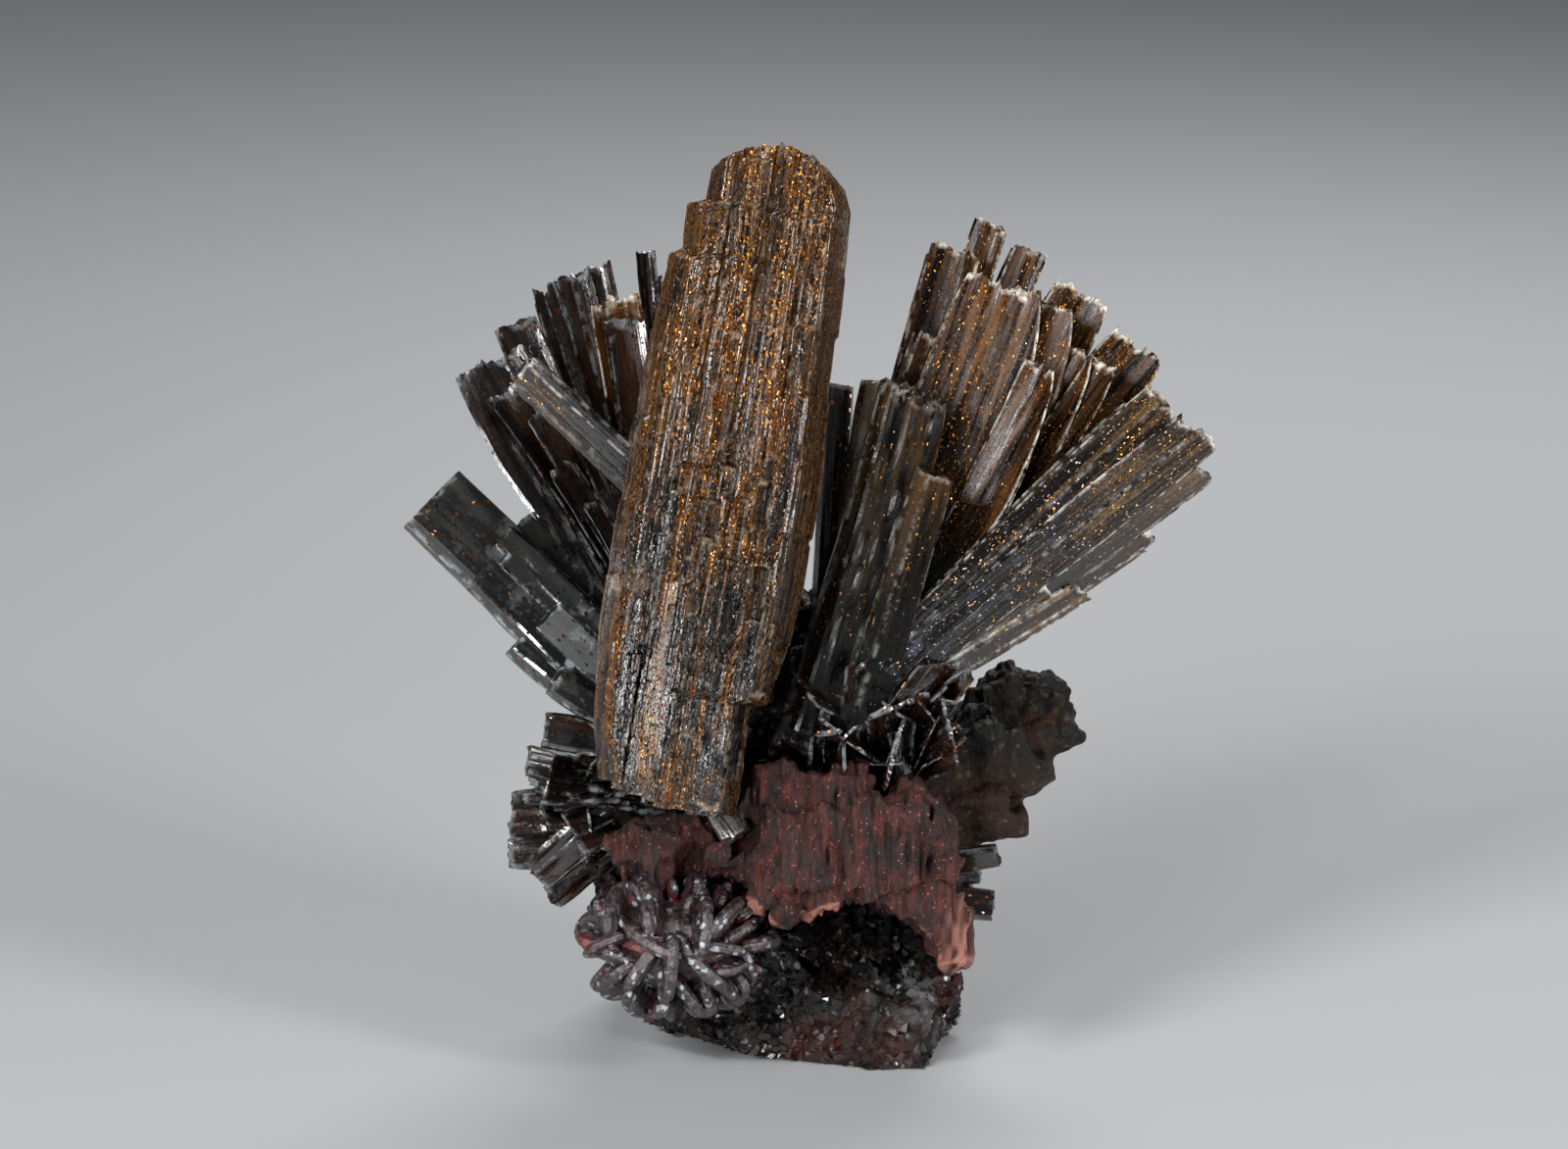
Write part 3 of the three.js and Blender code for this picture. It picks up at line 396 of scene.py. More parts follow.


# Striated goethite: dark streaks along the crystal, pale broken lath borders that also carry painted
# highlights, and gold glints from inside painted into the colour; it also paints shade at the foot and glow at
# the tip.
def crystalFinish(name, settings):
    s = {**finishDefaults, **settings}
    made, tree = emptyMaterial(name)
    grain = kept(tree, "grain", "Vector")
    tone, rim, rise = kept(tree, "tone"), kept(tree, "rim"), kept(tree, "rise")

    # fine and broad streaks run along the crystal; grit is the grainy bronze skin over them
    fineStreak = noiseOf(tree, mapped(tree, grain, (s["streaks"], s["streaks"], 0.2)), 1.0, 4.0)
    broadStreak = noiseOf(tree, mapped(tree, grain, (1.7, 1.7, 0.11)), 1.0, 3.0)
    patch = noiseOf(tree, grain, 0.42, 3.0)
    grit = noiseOf(tree, grain, 7.0, 2.0)
    # painted shade: footShade darkens the colour towards the foot, where the blades crowd together and shade
    # one another
    footward = compute(tree, "POWER", compute(tree, "SUBTRACT", 1.0, rise, clamp=True), 2.0)
    body = compute(tree, "MULTIPLY", broadStreak, 0.4)
    for value, share in (
        (fineStreak, 0.3), (patch, 0.15), (grit, s["gritShare"]), (tone, 0.12), (footward, -s["footShade"]),
    ):
        body = compute(tree, "MULTIPLY_ADD", value, share, body)
    base = rampOf(tree, body, list(zip(s["levels"], (s["dark"], s["middle"], s["light"]))))
    # painted reflection: pale bluish patches near the foot stand in for light reflected off small facets
    paintedSheen = risingFrom(tree, noiseOf(tree, grain, 0.9, 4.0), 0.56, 14.0)
    paintedSheen = compute(tree, "MULTIPLY", compute(tree, "MULTIPLY", paintedSheen, s["paintedSheenShare"]), footward)
    base = mixColour(tree, paintedSheen, base, colourOf(s["paintedSheen"]))

    # warmer towards the tip, along the grain: partly the crystals' own warmer colour, partly a painted glow of
    # light shining through the thin tips
    tipGlowShare = compute(tree, "MULTIPLY", compute(tree, "POWER", rise, 2.5), s["tipGlow"])
    streaky = risingFrom(tree, fineStreak, 0.4, 5.0)
    base = mixColour(tree, compute(tree, "MULTIPLY", tipGlowShare, streaky), base, colourOf(s["tip"]))

    # broken borders and tips: their own paler colour, with a painted highlight where they catch the light
    chipped = risingFrom(tree, noiseOf(tree, grain, 1.8, 3.0), 0.45, 6.0)
    paleAndHighlightBorder = compute(tree, "MULTIPLY", compute(tree, "MULTIPLY", rim, chipped), s["rimPaleAndHighlightShare"])
    base = mixColour(tree, paleAndHighlightBorder, base, colourOf(s["rim"]))

    # glints: small cells, each with its own slope; some are painted gold where the skin is bronze, a painted
    # highlight standing in for light reflected from inside
    cells, rarity, depth = cellsOf(tree, mapped(tree, grain, (1.0, 1.0, 0.6)), s["glintScale"])
    rare = compute(tree, "GREATER_THAN", rarity, 1 - s["glintShare"])
    warm = compute(tree, "MULTIPLY_ADD", broadStreak, 0.6, compute(tree, "MULTIPLY", patch, 0.4))
    warm = risingFrom(tree, compute(tree, "MULTIPLY_ADD", rise, 0.13, warm), 0.5, 7.0)
    paintedGlintColour = rampOf(tree, depth, [(0.2, s["paintedGlintDeep"]), (0.85, s["paintedGlint"]), (1.0, "#ffdc9a")])
    paintedSpark = compute(tree, "MULTIPLY", rare, warm)
    base = mixColour(tree, paintedSpark, base, paintedGlintColour)

    tiltSize = compute(tree, "MULTIPLY_ADD", rare, s["glintTilt"], s["facetTilt"])
    height = compute(tree, "MULTIPLY_ADD", broadStreak, 1.2, fineStreak)
    height = compute(tree, "MULTIPLY_ADD", grit, 0.12, height)
    bump = {"Strength": s["bump"], "Distance": 0.0001, "Height": height}
    rough = addNode(tree, "ShaderNodeMapRange", {
        "Value": compute(tree, "MULTIPLY_ADD", grit, 0.5, fineStreak),
        "From Min": 0.6, "From Max": 0.9, "To Min": s["gloss"][1], "To Max": s["gloss"][0],
    }).outputs[0]
    metal = compute(tree, "MULTIPLY_ADD", paintedSpark, 0.8, s["metal"], clamp=True)
    surfaceOf(tree, base, rough, tiltedNormal(tree, cells, tiltSize, bump), s["ior"], metal)
    return made


finishDefaults = {
    "levels": (0.515, 0.56, 0.61), "gritShare": 0.15, "paintedSheen": "#ffffff", "paintedSheenShare": 0.0, "tipGlow": 0.5,
    "paintedGlint": "#ff9a22", "paintedGlintDeep": "#8c3f0c", "glintTilt": 0.8, "facetTilt": 0.04, "metal": 0.05,
}
# bronze-brown, semi-metallic, with orange sparks: the eye sees brown silk with black lines
bronzeFinish = crystalFinish("striatedBronzeGoethite", {
    "dark": "#030303", "middle": "#120b06", "light": "#643f19", "tip": "#6e4410", "rim": "#c9b79c",
    "levels": (0.58, 0.63, 0.7), "gritShare": 0.26, "tipGlow": 0.5, "rimPaleAndHighlightShare": 0.6, "streaks": 7.0,
    "paintedGlint": "#f0962a", "paintedGlintDeep": "#4a2408", "glintScale": 20.0, "glintShare": 0.34, "glintTilt": 0.9,
    "facetTilt": 0.08, "bump": 0.24, "footShade": 0.012, "gloss": (0.34, 0.1), "ior": 1.75,
})
# golden-brown pages, smooth, with painted shade making them black-brown at the foot, and thin broken edges,
# pale and painted bright
goldFinish = crystalFinish("goldenBrownGoethite", {
    "dark": "#050302", "middle": "#1f1005", "light": "#5c3812", "tip": "#6e4413", "rim": "#fbf3e2",
    "levels": (0.53, 0.59, 0.66), "gritShare": 0.2, "tipGlow": 0.6, "rimPaleAndHighlightShare": 1.0, "streaks": 4.5,
    "paintedGlint": "#e8922c", "paintedGlintDeep": "#4e2408", "glintScale": 24.0, "glintShare": 0.08,
    "bump": 0.13, "footShade": 0.17, "gloss": (0.45, 0.2), "ior": 1.5, "metal": 0.0,
})
# straw-gold and grey outer blade, strongly striated, with a painted bluish reflection near its foot
strawFinish = crystalFinish("strawGoldGoethite", {
    "dark": "#060505", "middle": "#1c140c", "light": "#68502c", "tip": "#6a4a1e", "rim": "#f3efe6",
    "levels": (0.565, 0.615, 0.68), "gritShare": 0.2, "tipGlow": 0.35, "rimPaleAndHighlightShare": 1.0, "streaks": 6.5,
    "paintedGlint": "#e8a23c", "paintedGlintDeep": "#5a3210", "glintScale": 24.0, "glintShare": 0.07,
    "paintedSheen": "#5c6382", "paintedSheenShare": 0.45, "bump": 0.3, "footShade": 0.16, "gloss": (0.3, 0.1), "ior": 2.0,
})
# black-brown blades with a hard lustre
blackFinish = crystalFinish("lustrousBlackGoethite", {
    "dark": "#040303", "middle": "#0d0907", "light": "#281a12", "tip": "#3c2210", "rim": "#b4babd",
    "rimPaleAndHighlightShare": 0.6, "streaks": 4.0, "paintedGlint": "#d8741c", "paintedGlintDeep": "#5a2208", "glintScale": 12.0,
    "glintShare": 0.05, "bump": 0.22, "footShade": 0.08, "gloss": (0.28, 0.08), "ior": 2.1,
})
# dark grey prism: flat shining faces with pale bluish patches of painted reflection near its foot
slateFinish = crystalFinish("slateGreyGoethite", {
    "dark": "#050606", "middle": "#0f1212", "light": "#2a2f2e", "tip": "#33291a", "rim": "#d5dcdc",
    "paintedSheen": "#b9c9cf", "paintedSheenShare": 2.0, "rimPaleAndHighlightShare": 0.75, "streaks": 1.8,
    "paintedGlint": "#d98b3a", "paintedGlintDeep": "#5c3312", "glintScale": 11.0, "glintShare": 0.05,
    "bump": 0.08, "footShade": 0.02, "gloss": (0.26, 0.07), "ior": 2.2,
})
# bottle-green black blade, nearly smooth, with a pale broken top
bottleFinish = crystalFinish("bottleGreenGoethite", {
    "dark": "#020302", "middle": "#090b08", "light": "#2a2416", "tip": "#4e3310", "rim": "#c2c4b6",
    "levels": (0.53, 0.6, 0.69), "gritShare": 0.22, "tipGlow": 0.8, "rimPaleAndHighlightShare": 0.45, "streaks": 2.6,
    "paintedGlint": "#b8742c", "paintedGlintDeep": "#4c2a10", "glintScale": 18.0, "glintShare": 0.03,
    "bump": 0.1, "footShade": 0.1, "gloss": (0.42, 0.2), "ior": 1.4, "metal": 0.0,
})
# clear-grey little blade
greyFinish = crystalFinish("smokyGreyBlade", {
    "dark": "#3c3835", "middle": "#6c6661", "light": "#a39c95", "tip": "#8c857d", "rim": "#e6e2dc",
    "tipGlow": 0.2, "rimPaleAndHighlightShare": 0.7, "streaks": 4.0, "paintedGlint": "#ffffff", "paintedGlintDeep": "#bbbbbb",
    "glintScale": 4.0, "glintShare": 0.03, "glintTilt": 0.5, "facetTilt": 0.08, "bump": 0.3,
    "footShade": 0.0, "gloss": (0.25, 0.1), "ior": 1.9, "metal": 0.0,
})


# A blade is split into thin sheets of slightly different lengths, one behind another.
def splitLeaves(spec, count):
    if count == 1:
        return [spec]
    sheets = []
    for k in range(count):
        rng = np.random.default_rng(spec["seed"] * 10 + k)
        offset = (k - (count - 1) / 2) * spec["thick"] / count * 1.2
        foot, tip = np.array(spec["foot"]), np.array(spec["tip"])
        end = foot + (tip - foot) * (1 - rng.uniform(0, 0.09) * (k > 0))
        shift = np.array([rng.uniform(-0.12, 0.12), 0, -offset])
        sheets.append({
            **spec, "foot": tuple(foot + shift * 0.6), "tip": tuple(end + shift),
            "seed": spec["seed"] * 10 + k,
            "thick": spec["thick"] / count * 0.8, "width": spec["width"] * (1 - rng.uniform(0, 0.12)),
            "roll": spec.get("roll", 0) + rng.uniform(-3, 3), "jag": spec.get("jag", 0.35) * 0.45,
            "shade": spec.get("shade", 0.5) + rng.uniform(-0.25, 0.25),
        })
    return sheets


def finishPiece(made, finish, node):
    made.data.materials.append(finish)
    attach(made, "root")
    if node:
        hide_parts(node)
    print(made.name, len(made.data.polygons), "faces")


def crystalPiece(name, specs, finish, node, leaves=1):
    made = meshObject(name, [growCrystal(sheet) for s in specs for sheet in splitLeaves(s, leaves)])
    finishPiece(made, finish, node)


# The large crystal: outline as seen on its face, foot at 0. A growth lath or a recess is given by
# left, right, low, high and height or depth; narrow laths are scattered between them, some as grooves.
mainSet = {
    "left": [
        (0.9, -2.85), (3.0, -3.4), (6.9, -3.8), (10.1, -3.85), (17.6, -3.9), (22.2, -3.62), (22.4, -3.1),
        (24.3, -3.2), (24.5, -2.5), (26.0, -2.45), (27.4, -1.9),
    ],
    "right": [
        (0.0, 2.3), (0.5, 2.65), (2.1, 2.75), (4.8, 2.7), (5.0, 3.3), (7.0, 3.7), (9.8, 3.9), (13.8, 3.9),
        (18.5, 3.65), (22.0, 3.5), (25.0, 3.3), (26.2, 2.75), (27.4, 2.2),
    ],
    "top": [(-1, 26.0), (-0.75, 26.8), (-0.3, 27.2), (0.1, 27.4), (0.5, 27.2), (0.85, 26.5), (1, 26.0)],
    "foot": [(-1, 1.1), (-0.7, 0.7), (-0.3, 0.3), (0.1, 0.2), (0.5, 0.05), (0.85, 0.2), (1, 0.7)],
    "laths": [
        (-3.65, -2.15, 1.2, 22.1, 0.35), (-2.85, -1.45, 9.0, 24.1, 0.2), (-1.85, -0.5, 0.5, 9.2, 0.42),
        (-1.35, 0.0, 14.3, 26.4, 0.3), (-0.5, 0.7, 3.3, 11.0, 0.18), (0.2, 1.65, 12.9, 26.7, 0.4),
        (0.9, 2.05, 0.6, 11.8, 0.26), (1.55, 2.6, 5.0, 20.0, 0.45), (2.25, 3.4, 5.3, 24.7, 0.24),
        (-2.95, -1.95, 0.9, 6.1, 0.55),
    ],
    "lathShare": 0.45,
    "recesses": [
        (-0.7, 0.2, 11.1, 12.6, 0.4), (0.35, 1.2, 10.4, 12.9, 0.45), (1.5, 2.1, 12.1, 13.6, 0.4),
        (-1.9, -1.3, 12.8, 13.9, 0.35), (1.9, 2.5, 8.2, 10.3, 0.4), (-0.1, 0.5, 14.1, 15.2, 0.3),
    ],
    "narrow": 90, "narrowSeed": 3, "grooves": [-0.09, -0.05, 0.04, 0.07],
}


def narrowLaths(s):
    rng = np.random.default_rng(s["narrowSeed"])
    laths = []
    for _ in range(s["narrow"]):
        left, low = rng.uniform(-3.7, 3.4), rng.uniform(-4, 24)
        height = rng.choice(s["grooves"])
        laths.append((left, left + rng.uniform(0.15, 0.5), low, low + rng.uniform(3, 14), height))
    return laths


mainNarrow = narrowLaths(mainSet)


def inBox(x, z, left, right, low, high):
    return (x > left) & (x < right) & (z > low) & (z < high)


def mainRelief(x, z):
    proud = np.zeros(len(x))
    for *box, height in mainSet["laths"]:
        proud = np.where(inBox(x, z, *box), np.maximum(proud, height * mainSet["lathShare"]), proud)
    for *box, height in mainNarrow:
        proud = proud + np.where(inBox(x, z, *box), height, 0)
    for *box, depth in mainSet["recesses"]:
        proud = np.where(inBox(x, z, *box), -depth, proud)
    footFall = 0.9 * np.clip((8 - z) / 8, 0, 1) ** 2
    # the lower left is a facet that catches the low softbox
    leftFall = 0.17 * np.clip(-0.5 - x, 0, 4) * np.clip((9.5 - z) / 1.2, 0, 1)
    return proud - footFall - leftFall


# A line through the pairs; with notches it runs in small steps, as a grown edge does.
def curveThrough(pairs, notches=0, depth=0.0, seed=0):
    at, value = zip(*pairs)
    rng = np.random.default_rng(seed)
    breaks = np.sort(rng.uniform(at[0], at[-1], notches))
    offsets = rng.uniform(-depth, depth, notches + 1)
    return lambda t: np.interp(t, at, value) + offsets[np.searchsorted(breaks, t)]


# A crystal's settings: foot, tip, width, thickness and seed, then whatever differs from the defaults.
def blade(foot, tip, width, thick, seed, **rest):
    return {"foot": foot, "tip": tip, "width": width, "thick": thick, "seed": seed, **rest}


mainCrystal = blade(
    (-4.75, 9.75, 7.0), (-0.25, 36.5, 6.2), 7.8, 4.6, 5, bevel=1.1, lath=0.55, fine=0.08, row=0.15,
    leftAt=curveThrough(mainSet["left"], 14, 0.09, 1), rightAt=curveThrough(mainSet["right"], 16, 0.09, 2),
    topAt=curveThrough(mainSet["top"]), footAt=curveThrough(mainSet["foot"]), frontRelief=mainRelief,
    relief=0.03, jag=0.22, footJag=0.22, ragged=0.12, rough=0.03, splay=0.0,
)
crystalPiece("mainCrystal", [mainCrystal], bronzeFinish, "main_crystal")

# A page is a thin sheet without growth laths: nearly smooth, a little cupped, with a ragged broken end.
page = {"lath": 9, "relief": 0.006, "rough": 0.03, "ragged": 0.55, "jag": 0.1, "cup": -0.3, "row": 0.27}


def pageOf(*sizes, **rest):
    return {**page, **blade(*sizes, **rest)}


# Right-hand fan
rightFrontSet = [
    blade((1.7, 12.9, 3.4), (5.4, 27.2, 5.6), 3.0, 2.1, 3, footWidth=3.9, roll=7, jag=0.1, bevel=0.5,
          lath=3.0, relief=0.02, rough=0.07, ragged=0.7, tipBand=0.05, shoulder=(0.1, 0.25)),
    blade((1.7, 13.8, 3.4), (3.8, 27.4, 4.0), 1.5, 1.2, 5, roll=-20, lath=2, rough=0.03),
    blade((3.1, 13.4, 4.6), (6.1, 23.6, 6.2), 1.7, 0.9, 8, footWidth=2.2, roll=6, jag=0.9, lath=0.7),
]
crystalPiece("rightFanFront", rightFrontSet, bottleFinish, "right_fan_front")

sheafSet = [
    pageOf((3.2, 15.0, 2.6), (9.4, 31.5, 2.6), 4.5, 0.8, 21, footWidth=2.1, roll=-8, slant=0.3,
           shoulder=(0.2, 0.75), shoulderFrom=0.62, cup=-0.05, shade=0.75),
    pageOf((3.4, 15.0, 2.2), (11.2, 30.7, 1.9), 4.0, 0.7, 22, footWidth=1.9, roll=-10,
           shoulder=(0.1, 0.8), shoulderFrom=0.6, cup=-0.05, bow=0.3),
    pageOf((3.6, 15.0, 3.0), (10.9, 27.9, 3.4), 2.6, 0.5, 23, footWidth=1.5, roll=-34,
           shoulder=(0.1, 0.95), shoulderFrom=0.55, bow=0.4, shade=0.35),
    pageOf((3.5, 15.0, 2.4), (12.5, 28.6, 2.2), 3.0, 0.6, 24, footWidth=1.6, roll=-26,
           shoulder=(0.1, 0.9), shoulderFrom=0.5, bow=0.35, shade=0.3),
    pageOf((3.6, 15.0, 2.9), (13.5, 28.0, 2.9), 2.2, 0.5, 25, footWidth=1.5, roll=-36,
           shoulder=(0.1, 0.9), shoulderFrom=0.5, bow=0.3, shade=0.35),
    pageOf((2.6, 16.2, 0.8), (7.2, 33.1, 0.0), 2.4, 1.0, 11, footWidth=1.6, roll=-14, jag=0.8, lath=1.2,
           shade=0.25),
    pageOf((2.8, 16.4, 0.2), (8.7, 34.0, -0.8), 1.6, 0.9, 12, footWidth=1.3, roll=-4, shade=0.25),
    pageOf((2.7, 16.2, 1.6), (6.6, 29.4, 1.5), 2.5, 0.9, 15, footWidth=1.6, roll=-10, jag=0.9, lath=1.3,
           shade=0.3),
    pageOf((3.0, 16.2, 0.0), (10.1, 33.0, -1.3), 1.7, 0.8, 17, footWidth=1.3, roll=8, shade=0.3),
    pageOf((3.4, 15.9, 1.0), (12.3, 30.8, 0.2), 3.0, 0.8, 31, footWidth=1.5, roll=-6, slant=-0.6,
           shoulder=(0.1, 0.4), shade=0.25),
    pageOf((3.6, 15.8, 1.6), (14.6, 28.6, 1.0), 3.0, 0.8, 32, footWidth=1.5, roll=-12, slant=-0.6,
           shoulder=(0.1, 0.4), shade=0.3),
    pageOf((3.7, 15.7, 0.6), (15.3, 27.1, -0.3), 2.4, 0.7, 33, footWidth=1.4, roll=4, shade=0.25),
]
crystalPiece("rightFanSheaf", sheafSet, goldFinish, "right_fan_sheaf", leaves=3)

outerSet = [
    blade((3.9, 15.6, 4.9), (15.6, 26.5, 4.6), 2.5, 1.3, 41, footWidth=1.6, roll=4, slant=0.3, lath=1.3,
          relief=0.02, ragged=0.4),
    blade((4.2, 15.2, 4.7), (17.2, 25.6, 4.4), 2.5, 1.5, 42, footWidth=1.7, roll=14, slant=0.8, lath=1.3,
          relief=0.02, ragged=0.4),
    blade((4.5, 14.8, 4.1), (17.2, 24.2, 3.9), 2.2, 1.1, 43, footWidth=1.6, roll=22, slant=0.9, lath=0.8,
          jag=0.7, ragged=0.5),
    blade((4.7, 14.6, 3.7), (15.4, 21.9, 3.5), 2.0, 0.9, 44, footWidth=1.5, roll=28, slant=1.2, lath=0.5,
          jag=1.8, ragged=0.5),
    blade((4.7, 14.4, 4.2), (12.7, 19.3, 3.8), 1.8, 0.8, 45, footWidth=1.4, roll=30, slant=1.0, lath=0.4,
          jag=1.8, ragged=0.5),
]
crystalPiece("rightFanOuter", outerSet, strawFinish, "right_fan_outer", leaves=3)

sliverSet = [blade((1.6, 16.6, 1.4), (2.3, 27.9, 1.4), 1.2, 1.0, 151, footWidth=1.2, roll=8, jag=0.7)]
crystalPiece("sliverBlade", sliverSet, blackFinish, "sliver_blade")

# Left-hand fan
leftFanSet = [
    pageOf((-5.9, 17.0, 1.0), (-12.5, 29.0, 0.0), 3.6, 0.7, 51, footWidth=1.4, roll=8, slant=1.4,
           shoulder=(0.3, 0.3)),
    pageOf((-5.5, 17.2, 0.6), (-11.2, 30.0, -0.6), 2.0, 0.7, 52, footWidth=1.1, roll=14),
    pageOf((-5.2, 17.4, 0.5), (-9.8, 31.5, -0.9), 1.7, 0.6, 53, footWidth=1.0, roll=20, jag=0.9, lath=0.6),
    pageOf((-5.0, 17.4, 0.9), (-8.7, 32.0, -0.2), 1.5, 0.7, 54, footWidth=1.0, roll=10, jag=0.8, lath=0.6),
    pageOf((-4.7, 17.4, 0.5), (-7.7, 32.5, -1.0), 1.2, 0.6, 55, footWidth=1.0, roll=-10, jag=0.7, lath=0.5),
    pageOf((-4.3, 17.4, 0.8), (-5.7, 33.0, 0.0), 1.0, 0.6, 56, footWidth=1.0, roll=30, jag=0.6),
    pageOf((-5.4, 16.6, 1.9), (-11.7, 26.9, 2.0), 1.8, 0.6, 61, footWidth=1.0, roll=42, bow=0.5),
    pageOf((-5.3, 16.6, 2.2), (-10.0, 26.3, 2.6), 2.0, 0.6, 62, footWidth=1.0, roll=34, bow=0.5),
    pageOf((-5.2, 16.4, 2.4), (-9.3, 23.9, 3.3), 1.7, 0.5, 63, footWidth=0.9, roll=46, bow=0.4),
    pageOf((-5.0, 16.6, 1.9), (-8.4, 25.7, 2.0), 1.8, 0.5, 64, footWidth=0.9, roll=28, bow=0.4),
    pageOf((-5.0, 16.4, 2.5), (-8.2, 22.5, 3.5), 1.2, 0.5, 65, footWidth=0.8, roll=50, bow=0.3),
    pageOf((-4.5, 17.4, 1.7), (-6.6, 30.4, 2.7), 1.9, 0.4, 72, footWidth=1.0, roll=18, slant=0.7),
]
crystalPiece("leftFan", leftFanSet, blackFinish, "left_fan", leaves=3)

# a brown scaly sheet that stands in the same fan, its broken rim pale and painted bright
scalySet = [
    pageOf((-4.6, 17.4, 1.4), (-7.0, 31.3, 2.2), 2.6, 0.5, 71, footWidth=1.2, roll=26, slant=0.9, rough=0.09,
           tipBand=0.03),
]
crystalPiece("leftScalySheet", scalySet, goldFinish, None, leaves=2)

goldBarSet = [
    blade((-5.2, 22.6, 3.6), (-10.9, 27.9, 5.0), 1.6, 1.2, 81, footWidth=1.7, roll=-12, slant=0.4, jag=0.4,
          lath=0.4),
]
crystalPiece("goldBar", goldBarSet, strawFinish, "gold_bar")

prismSet = [
    blade((-5.8, 14.2, 2.2), (-14.3, 22.4, 2.4), 3.2, 2.4, 91, footWidth=3.0, roll=18, jag=0.1, ragged=0.06,
          slant=-0.3, bevel=0.25, lath=9, relief=0, shoulder=(0, 0), tipBand=0.02),
    blade((-5.4, 13.6, 3.2), (-12.2, 20.4, 3.2), 3.3, 2.0, 92, footWidth=3.3, roll=12, jag=0.6, ragged=0.1,
          slant=0.6, bevel=0.3, lath=1.3, relief=0.05, rough=0.05),
    blade((-5.0, 12.6, 3.0), (-10.6, 17.2, 3.3), 2.6, 1.9, 93, footWidth=2.6, roll=8, jag=0.3, ragged=0.1,
          bevel=0.3, lath=1.3, relief=0.03, rough=0.05),
    blade((-5.8, 15.6, 1.4), (-11.2, 21.6, 1.6), 1.8, 1.0, 94, roll=26, lath=9, ragged=0.1),
    blade((-6.2, 14.6, 3.6), (-9.6, 17.9, 4.6), 1.6, 0.9, 95, roll=-12, lath=9, ragged=0.1),
    blade((-6.4, 13.2, 3.8), (-9.3, 15.2, 4.6), 1.5, 0.9, 96, roll=24, lath=9, ragged=0.1),
]
crystalPiece("leftPrism", prismSet, slateFinish, "left_prism")


# A few small plates pointing every way out of a patch of the matrix; spread gives half widths of that patch.
def plateCluster(s):
    rng = np.random.default_rng(s["seed"])
    plates = []
    for k in range(s["count"]):
        foot = np.array(s["centre"]) + rng.uniform(-1, 1, 3) * np.array(s["spread"])
        aim = np.array(s["aim"]) + rng.normal(size=3) * s["scatter"]
        length = rng.uniform(*s["length"])
        plates.append({
            "foot": tuple(foot), "tip": tuple(foot + aim / np.linalg.norm(aim) * length),
            "width": rng.uniform(*s["width"]), "thick": rng.uniform(*s["thick"]),
            "roll": rng.uniform(-90, 90), "jag": 0.2, "ragged": 0.12, "shade": rng.uniform(0.3, 0.7), "seed": s["seed"] * 100 + k,
        })
    return plates


# Small dark plates
leftPlateSet = [
    blade((-5.0, 10.4, 1.6), (-10.7, 11.9, 2.4), 3.0, 0.5, 101, footWidth=2.6, roll=72),
    blade((-5.0, 9.9, 1.8), (-10.4, 11.0, 2.8), 3.0, 0.45, 102, footWidth=2.4, roll=78),
    blade((-5.0, 9.4, 1.2), (-11.5, 8.9, 1.4), 3.4, 0.7, 103, footWidth=2.6, roll=20, jag=0.8, rough=0.08),
    blade((-5.2, 10.6, 2.6), (-10.0, 6.6, 2.7), 2.6, 0.6, 104, footWidth=2.6, roll=-18, jag=0.7, rough=0.08),
    blade((-6.4, 10.2, 2.4), (-10.7, 10.3, 3.0), 2.6, 0.4, 105, footWidth=2.2, roll=88, jag=0.4),
    blade((-5.6, 12.4, 1.8), (-9.9, 13.1, 2.2), 1.8, 0.7, 106, footWidth=1.8, roll=36),
]
leftPlateSet += plateCluster({
    "centre": (-7.0, 10.6, 2.2), "spread": (1.0, 2.2, 0.8), "aim": (-1.0, -0.1, 0.5), "scatter": 0.45,
    "count": 16, "length": (1.8, 3.4), "width": (1.0, 2.4), "thick": (0.14, 0.26), "seed": 11,
})
crystalPiece("leftDarkPlates", leftPlateSet, blackFinish, "left_dark_plates")

middlePlateSet = [
    blade((3.8, 12.4, 3.2), (6.4, 15.9, 5.6), 2.8, 0.2, 111, roll=60, jag=0.4),
    blade((3.4, 12.2, 3.4), (2.1, 13.0, 6.6), 2.6, 0.2, 112, roll=84, jag=0.4),
    blade((4.6, 12.4, 3.0), (4.6, 14.4, 6.4), 2.8, 0.2, 113, roll=24, jag=0.4),
    blade((5.2, 12.0, 2.8), (6.8, 13.2, 6.0), 3.0, 0.2, 114, roll=-28, jag=0.4),
    blade((5.0, 12.6, 2.4), (7.7, 16.1, 4.2), 2.4, 0.2, 115, roll=-60),
    blade((3.2, 13.2, 3.4), (3.2, 16.2, 6.0), 2.2, 0.2, 116, roll=46, jag=0.4),
    blade((4.2, 11.6, 3.4), (4.4, 12.0, 6.4), 2.4, 0.2, 118, roll=-78, jag=0.4),
]
middlePlateSet += plateCluster({
    "centre": (3.6, 12.6, 3.2), "spread": (2.6, 1.5, 0.8), "aim": (0.1, 0.6, 1.0), "scatter": 0.5,
    "count": 34, "length": (1.4, 3.0), "width": (0.9, 2.2), "thick": (0.12, 0.24), "seed": 12,
})
middlePlateSet += plateCluster({
    "centre": (0.2, 12.6, 1.6), "spread": (1.2, 2.2, 0.6), "aim": (0.1, 0.5, 1.0), "scatter": 0.6,
    "count": 22, "length": (1.0, 2.4), "width": (0.7, 1.7), "thick": (0.12, 0.24), "seed": 13,
})
crystalPiece("middlePlates", middlePlateSet, blackFinish, "middle_plates")

